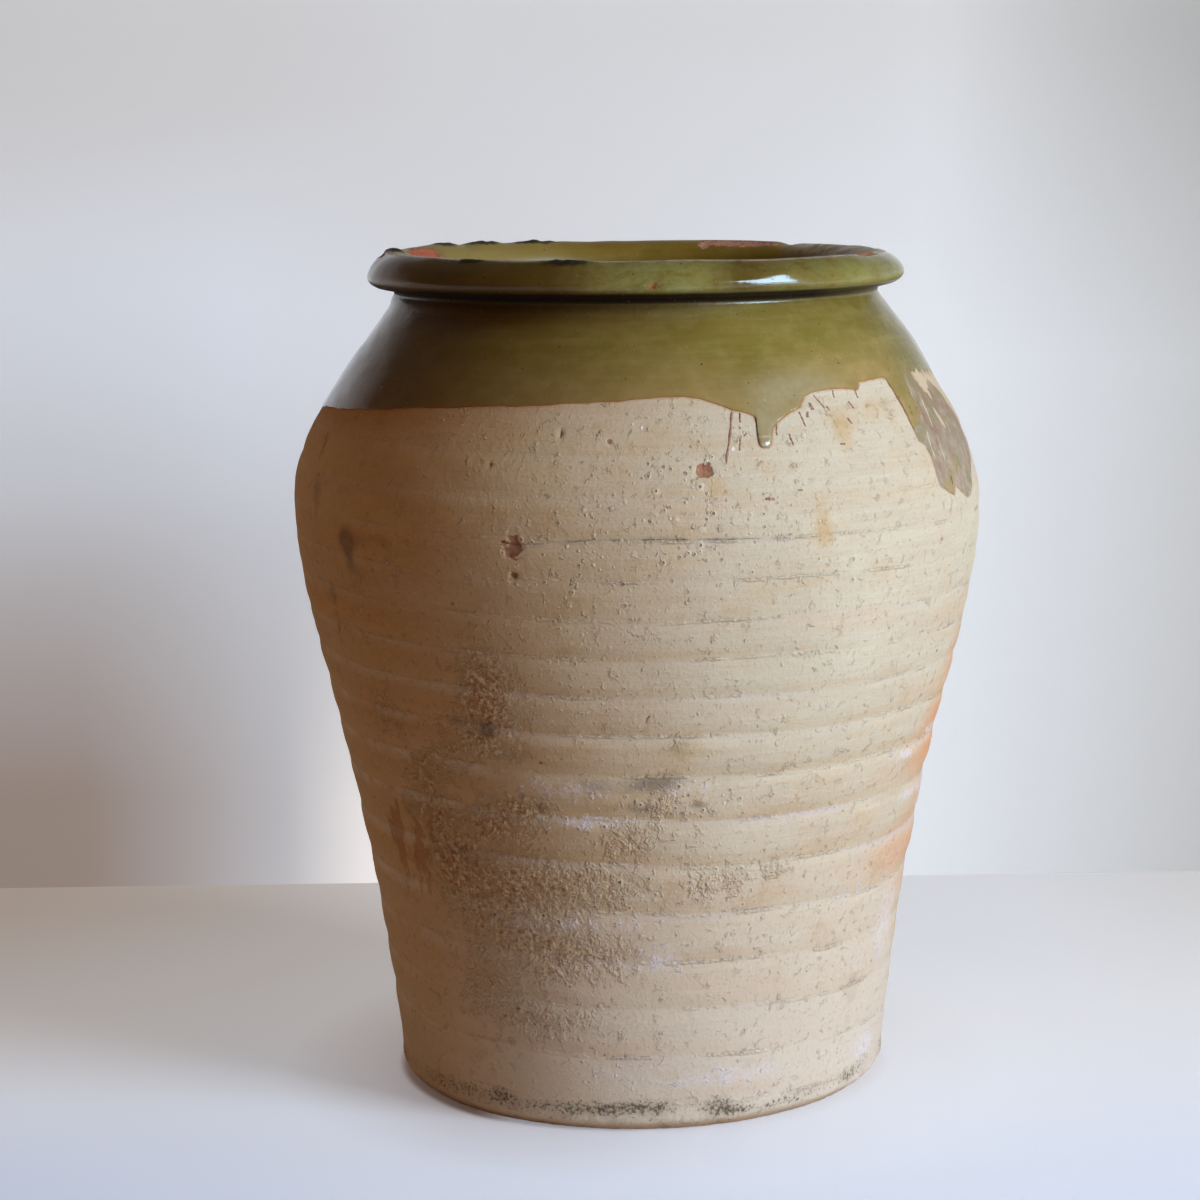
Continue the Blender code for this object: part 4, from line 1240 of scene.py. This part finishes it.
# A part with its rows in the opposite order
def flipped(part):
    radius, height, azimuth, fields = part
    return radius[::-1], height[::-1], azimuth[::-1], {key: rows[::-1] for key, rows in fields.items()}


# The collar's part in the hollow corner under the roll, at a way from the clay
def cornerPart(columns, coat):
    centreR, centreZ, stop, _ = cornerUnderRoll()
    corner = np.column_stack(ellipse(centreR, centreZ, pot["cornerRadius"], pot["cornerRadius"],
                                     90.0, stop, 8))
    corner[:, 2:] *= -1.0
    shape = (len(corner), len(columns))
    radius, height, outR, outZ = (np.broadcast_to(corner[:, k:k + 1], shape) for k in range(4))
    fields = calmFields(shape)
    fields["hollow"] = hollowAt(height)
    return radius + coat * outR, height + coat * outZ, np.broadcast_to(columns, shape), fields


# The collar's part on the shoulder, from the corner down to the glaze's edge, with rows closer together there
def shoulderPart(columns, side, count):
    meet = cornerUnderRoll()[3]
    top = float(wallAt(meet)[1])
    stopU = uAtHeight(glazeEdge(columns))
    share = 1.0 - (1.0 - np.linspace(0.0, 1.0, count + 1)[1:]) ** 1.7
    wallR, wallZ, outR, outZ = wallAt(meet + (stopU[None, :] - meet) * share[:, None])
    azimuth = columns - dripLean(columns, wallZ)
    at = (azimuth, wallZ, wallR)
    away = awayFromGlaze(*at)
    start = smooth(top, top - 0.006, wallZ)
    push = (clayRelief(*at) + collar["gap"]) * start + pot["slip"] * (1.0 - start)
    if side == "out":
        push = push + coatThickness(*at, away) + (pot["glaze"] - collar["full"]) * (1.0 - start)
    fields = {**calmFields(wallZ.shape), **dragFields(*at), "edge": np.clip(-away, 0.0, 0.05),
              "hollow": hollowAt(wallZ), "pool": np.clip(fieldOf(collar["pools"], *at), 0.0, 0.85),
              "fold": fieldOf(collar["foldsAndGlints"], *at)}
    return wallR + push * outR, wallZ + push * outZ, azimuth, fields


# Olive collar: the coat over the roll and the shoulder, down to the line where the pot was dipped
def makeOliveCollar():
    columns = columnsRound(collar["columns"], collar["patches"])
    parts = []
    for side, coat, rollSteps, shoulderRows in collar["sides"]:
        made = [rimRows(rollSection(rollSteps), columns, coat), cornerPart(columns, coat),
                shoulderPart(columns, side, shoulderRows)]
        parts += made if side == "out" else [flipped(part) for part in made[::-1]]
    rows, fields = stackRows(parts)
    made = addPiece("oliveCollar", rows, oliveGlaze, fields, crease=60.0)
    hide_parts("outer_glaze")


lining = {
    "columns": 360,
    "spiralPitch": 0.016,     # of the finger's spiral on the floor
    "spiralRise": 0.0003,
    "ringPitch": 0.017,       # of the finger rings on the wall
    "ringDepth": 0.0006,
    # For the outside and the inside of the coat: its way from the clay, and rows of the wall and the lip
    "sides": (("out", pot["slip"] + pot["glaze"], 90, 18), ("in", pot["slip"], 16, 8)),
}


# Ochre lining: the coat over the whole inside, from the floor up the wall and over the lip to the crown.
# Shallow finger rings on the wall and a spiral on the floor show through it
def makeOchreLining():
    columns = columnsRound(lining["columns"], ())
    floorR = np.linspace(0.012, 0.098, 16)
    parts = []
    for side, coat, wallRows, lipSteps in lining["sides"]:
        pressed = float(side == "out")
        level = pot["floor"] + coat
        shape = (len(floorR), len(columns))
        azimuth = np.broadcast_to(columns, shape)
        radius = np.broadcast_to(floorR[:, None], shape)
        spiral = np.sin(2.0 * np.pi * (radius / lining["spiralPitch"] + azimuth / 360.0))
        height = level + pressed * lining["spiralRise"] * (1.0 + spiral)
        floorPart = (radius, height, azimuth, calmFields(shape))
        depth = pot["wall"] + coat
        lowU = float(uAtHeight(level + 0.0006, depth))
        u = np.linspace(lowU, 2.0, wallRows)[:, None] + np.zeros((1, len(columns)))
        wallR, wallZ, outR, outZ = wallAt(u, depth)
        azimuth = np.broadcast_to(columns, u.shape)
        rings = 0.5 + 0.5 * np.sin(2.0 * np.pi * (wallZ / lining["ringPitch"] + azimuth / 360.0))
        fade = smooth(0.03, 0.06, wallZ) * (1.0 - smooth(0.37, 0.40, wallZ))
        inward = pressed * lining["ringDepth"] * fade * rings
        wallPart = (wallR - inward * outR, wallZ - inward * outZ, azimuth, calmFields(u.shape))
        lip = rimRows(lipSection(lipSteps), columns, coat)
        lip = (np.minimum(lip[0], crownRadius - 0.00002), *lip[1:])
        made = [floorPart, wallPart, lip]
        parts += made if side == "out" else [flipped(part) for part in made[::-1]]
    rows, fields = stackRows(parts)
    made = addPiece("ochreLining", rows, ochreGlaze, fields, closed=False, crease=60.0)
    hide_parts("inner_glaze")


# Trickles below the glaze line: start and end as azimuth and height in millimetres, and half width
trickles = (
    (16.5, 352.3, 14.1, 329.4, 0.00075), (17.9, 351.7, 17.6, 347.3, 0.0005),
    (17.4, 345.7, 17.4, 344.5, 0.00055), (17.1, 340.4, 16.7, 335.2, 0.0006),
    (33.3, 357.9, 34.8, 351.3, 0.00045), (35.1, 352.2, 35.6, 350.8, 0.00085),
    (38, 359.2, 37.7, 355.8, 0.00045), (31.9, 354.6, 32.1, 351.2, 0.0011),
    (30.9, 350.9, 30.5, 348.2, 0.00085), (29.2, 351.2, 29.5, 344.1, 0.0005),
    (25.9, 341.7, 26.2, 336.2, 0.0006), (24.2, 347, 23.6, 341, 0.00045), (40.7, 353.9, 41.3, 350.2, 0.0006),
    (38.8, 346.7, 39.3, 343.7, 0.0007), (43.5, 358.6, 43.3, 354.6, 0.00045),
    (35.3, 335.6, 36.4, 335.4, 0.0005), (25.5, 316.9, 26.4, 316.7, 0.0005),
    (19.8, 313.7, 21.5, 313.5, 0.0007),
)


# One trickle is a thin lens along its path: half an ellipse across, tapered to nothing at both ends
def tricklePoints(startAz, startZ, endAz, endZ, half, along, around):
    t = np.linspace(0.0, 1.0, along)
    level = (startZ + (endZ - startZ) * t) / 1000.0
    heading = startAz + (endAz - startAz) * t + 0.04 * np.sin(9.0 * t + startAz)
    tapered = np.sqrt(np.clip(1.0 - np.abs(2.0 * t - 1.0) ** 6, 0.02, 1.0))
    width = half * tapered * (0.8 + 0.2 * np.sin(17 * t))
    angle = np.linspace(0.0, 2.0 * np.pi, around, endpoint=False)
    across = width[:, None] * np.cos(angle)[None, :]
    lift = np.where(np.sin(angle) > 0.0, 0.00028, 0.00003) * np.sin(angle)
    lift = lift[None, :] * (width / half)[:, None]
    # A path more level than steep is widened in height instead of across
    steep = abs(endZ - startZ) > abs(math.radians(endAz - startAz)) * 170.0
    radius = wallAt(uAtHeight(level))[0]
    aside = np.degrees(across / radius[:, None]) if steep else np.zeros_like(across)
    azimuth = heading[:, None] + aside
    up = np.zeros_like(across) if steep else across
    radius, height, outR, outZ = wallAt(uAtHeight(level[:, None] + up))
    push = clayRelief(azimuth, height, radius) + 0.00004 + lift
    return turned(radius + push * outR, height + push * outZ, azimuth).reshape(-1, 3)


# All trickles, in one mesh
def makeTrickles():
    along, around = 22, 12
    points, faces = [], []
    ends = [list(range(around))[::-1], [(along - 1) * around + k for k in range(around)]]
    lens = ringFaces(along, around, False).tolist() + ends
    for path in trickles:
        first = len(points)
        points += tricklePoints(*path, along, around).tolist()
        faces += [[index + first for index in face] for face in lens]
    made = addMesh("trickles", points, faces, brownTrickle)
    made.data.validate()
    made.data.shade_smooth()
    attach(made, "root")
    print(f"trickles: {len(made.data.vertices)} points")


makeFloorSlab(clayColumns)
makeLowerWall(clayColumns)
makeUpperWall(clayColumns)
makeRolledRim(clayColumns)
makeOliveCollar()
makeOchreLining()
makeTrickles()


# Studio

studio = {
    "lens": 87.69, "place": (0.0, -1.4807, 0.4811), "down": 9.181, "turnLeft": -0.767, "roll": -0.999,
    "wallBehind": 0.36,
    "middle": (0.0, 0.0, 0.25),     # where the lamps are aimed
}

# Soft panels: azimuth, rise above level, way from the middle, width, height, watts and colour
lamps = {
    "key": (57.0, 20.0, 2.2, 0.80, 1.2, 46.0, "#F0F6FF"),
    "window": (57.0, 20.0, 2.0, 0.72, 1.1, 62.0, "#B6DCFF"),
    "fill": (-122.0, 10.0, 1.6, 1.2, 1.2, 2.8, "#F4E8DC"),
    "front": (-28.0, -6.0, 1.4, 1.0, 0.5, 0.8, "#FFDCB8"),
    "behind": (-140.0, 25.0, 1.6, 1.2, 1.0, 1.5, "#F2F0F0"),
}


# Adds a camera or a lamp at a place, with the directions of its three axes
def addPlaced(name, data, right, up, back, place):
    matrix = np.eye(4)
    matrix[:3] = np.column_stack([right, up, back, place])
    made = bpy.data.objects.new(name, data)
    bpy.context.scene.collection.objects.link(made)
    made.matrix_world = Matrix(matrix.tolist())
    return made


# Camera at the photograph's place, pitched down and rolled a little
def makeCamera():
    down, aside, roll = (math.radians(studio[key]) for key in ("down", "turnLeft", "roll"))
    forward = np.array([math.sin(aside) * math.cos(down), math.cos(aside) * math.cos(down), -math.sin(down)])
    level = np.array([math.cos(aside), -math.sin(aside), 0.0])
    upright = np.cross(level, forward)
    right = math.cos(roll) * level + math.sin(roll) * upright
    up = math.cos(roll) * upright - math.sin(roll) * level
    data = bpy.data.cameras.new("camera")
    data.sensor_width = 36.0
    data.lens = studio["lens"]
    data.clip_start = 0.05
    data.clip_end = 60.0
    bpy.context.scene.camera = addPlaced("camera", data, right, up, -forward, studio["place"])


# A soft panel lamp aimed at the pot's middle. The window stands just in front of the key: it is mirrored in
# the glaze and lights nothing, and the others light the pot and aren't mirrored
def makeLamp(name, azimuth, rise, away, width, height, watts, code):
    aside = math.radians(azimuth)
    rise = math.radians(rise)
    toLamp = np.array([math.sin(aside) * math.cos(rise), -math.cos(aside) * math.cos(rise), math.sin(rise)])
    data = bpy.data.lights.new(name, "AREA")
    data.shape = "RECTANGLE"
    data.size, data.size_y = width, height
    data.energy = watts
    data.color = colour(code)[:3]
    across = np.cross([0.0, 0.0, 1.0], toLamp)
    across /= np.linalg.norm(across)
    place = toLamp * away + np.array(studio["middle"])
    made = addPlaced(name, data, across, np.cross(toLamp, across), toLamp, place)
    made.visible_diffuse = name != "window"
    made.visible_glossy = name == "window"


# The stage's sheets: corners, and paint with the parts of each mask. Both carry painted light and shade: a
# little darker and warmer to the sides, with the pot's shadow to its left on the floor and the wall
stage = {
    "stageFloor": {
        "corners": ((-6, -6, 0), (6, -6, 0), (6, studio["wallBehind"], 0), (-6, studio["wallBehind"], 0)),
        "paint": "#DDE2E8",
        "layers": (
            # Painted light and shade: bluer to the front, darker and warmer to the sides, and the pot's
            # shadow to its left towards the wall
            ("#CFDEF6", ("along", 0.05, -0.35)),
            ("#C2B9B0", ("across", 0.1, -0.4), ("along", -0.1, 0.3)),
            ("#CAC8C2", ("across", 0.24, 0.5), ("along", 0.0, 0.3)),
            ("#BCCAE4", ("across", -0.1, -0.4), ("along", -0.05, -0.3)),
            # Painted brown shadow close to the foot's left side
            ("#B0886C", "footShadow", 0.8),
        ),
    },
    "stageWall": {
        "corners": ((-6, studio["wallBehind"], 0), (6, studio["wallBehind"], 0), (6, studio["wallBehind"], 6),
                    (-6, studio["wallBehind"], 6)),
        "paint": "#D6DADE",
        "layers": (
            # Painted light and shade: paler and bluer high on the left, darker higher up and to the right
            ("#E0EAF6", ("across", -0.1, -0.25), ("level", 0.5, 0.38)),
            ("#C7C8C8", ("across", -0.1, 0.15, 0.45, 1.0), ("level", 0.33, 0.54)),
            ("#9C9A95", ("across", 0.18, 0.44)),
            ("#86837D", ("across", 0.2, 0.42), ("level", 0.33, 0.53, 0.0, 0.7)),
            # Painted shadow of the pot, low on the left, and painted light between it and the pot
            ("#BAB0AA", ("across", -0.18, -0.36), ("level", 0.26, 0.06)),
            ("#FFFFFF", ("across", -0.23, -0.18), ("across", 0.0, -0.05), ("level", 0.2, 0.05)),
        ),
    },
}


# Matt paint of a sheet, lifted towards white for the camera. It passes warmer light on to the pot's left, as
# the room does, the wall mirrors less in the glaze the higher up it is, and its back is clear. Close to the
# foot's left side, where the pot hides the lamps, the floor is painted with a brown shadow, warm with the
# clay's light, and its lift is cut
def stagePaint(name, first, layers):
    finish, tree, shader, signals = newMaterial(name + "Paint")
    mask, _ = maskMaker(tree, signals)
    shader.inputs["Roughness"].default_value = 0.6
    path = wire(tree, "LightPath").node.outputs
    camera, glossy = path["Is Camera Ray"], path["Is Glossy Ray"]
    signals["footShadow"] = 0.0
    if name == "stageFloor":
        out = wire(tree, "VectorMath", {0: signals["place"]}, out=1, operation="LENGTH")
        signals["footShadow"] = largest(tree, mask, (
            [(out, 0.1310, 0.1255, 0.0, 0.75), ("across", -0.06, -0.085)],
            [(out, 0.19, 0.127, 0.0, 0.24), ("across", 0.02, -0.09, 0.4, 1.0)]))
    paint = layColours(tree, mask, {}, first, layers)
    bounced = layColours(tree, mask, {}, "#D0AA88", (("#E6E4E0", ("across", -0.3, 0.05)),))
    seen = combine(tree, "MAXIMUM", camera, glossy)
    tree.links.new(layColours(tree, mask, {}, bounced, ((paint, seen),)), shader.inputs["Base Color"])
    high = mask(("level", 0.46, 0.72, 1.0, 0.12))
    shown = combine(tree, "MAXIMUM", camera, mask(glossy, high))
    unhidden = combine(tree, "SUBTRACT", 1.0, signals["footShadow"])
    glow = wire(tree, "Emission", {"Color": paint, "Strength": mask(shown, 0.42, unhidden)})
    faded = mask(glossy, combine(tree, "SUBTRACT", 1.0, high))
    matt = wire(tree, "MixShader", {0: combine(tree, "SUBTRACT", 1.0, faded), 2: shader.outputs[0]})
    lit = wire(tree, "AddShader", {0: matt, 1: glow})
    sided = wire(tree, "MixShader", {0: wire(tree, "NewGeometry", out="Backfacing"), 1: lit,
                                     2: wire(tree, "BsdfTransparent")})
    tree.links.new(sided, tree.nodes["Material Output"].inputs["Surface"])
    return finish


# Floor and wall: flat sheets. The wall hides no lamp
def makeStage():
    for name, sheet in stage.items():
        corners = [tuple(map(float, corner)) for corner in sheet["corners"]]
        finish = stagePaint(name, sheet["paint"], sheet["layers"])
        made = addMesh(name, corners, [(0, 1, 2, 3)], finish)
        if name == "stageWall":
            made.visible_shadow = False
            made.visible_diffuse = False


# Dim, warm room light from all round. The camera sees it pale and brighter
def makeRoom():
    world = bpy.data.worlds.new("room")
    bpy.context.scene.world = world
    world.use_nodes = True
    tree = world.node_tree
    path = wire(tree, "LightPath", out="Is Camera Ray").node
    shade = wire(tree, "Background", {"Color": "#FFC49C", "Strength": 0.105})
    shown = wire(tree, "Background", {"Color": "#D9DCE0", "Strength": 0.8})
    mixed = wire(tree, "MixShader", {0: path.outputs["Is Camera Ray"], 1: shade, 2: shown})
    tree.links.new(mixed, tree.nodes["World Output"].inputs["Surface"])


makeCamera()
for lampName, lamp in lamps.items():
    makeLamp(lampName, *lamp)
makeStage()
makeRoom()
bpy.context.scene.view_settings.view_transform = "Standard"
print("studio set")
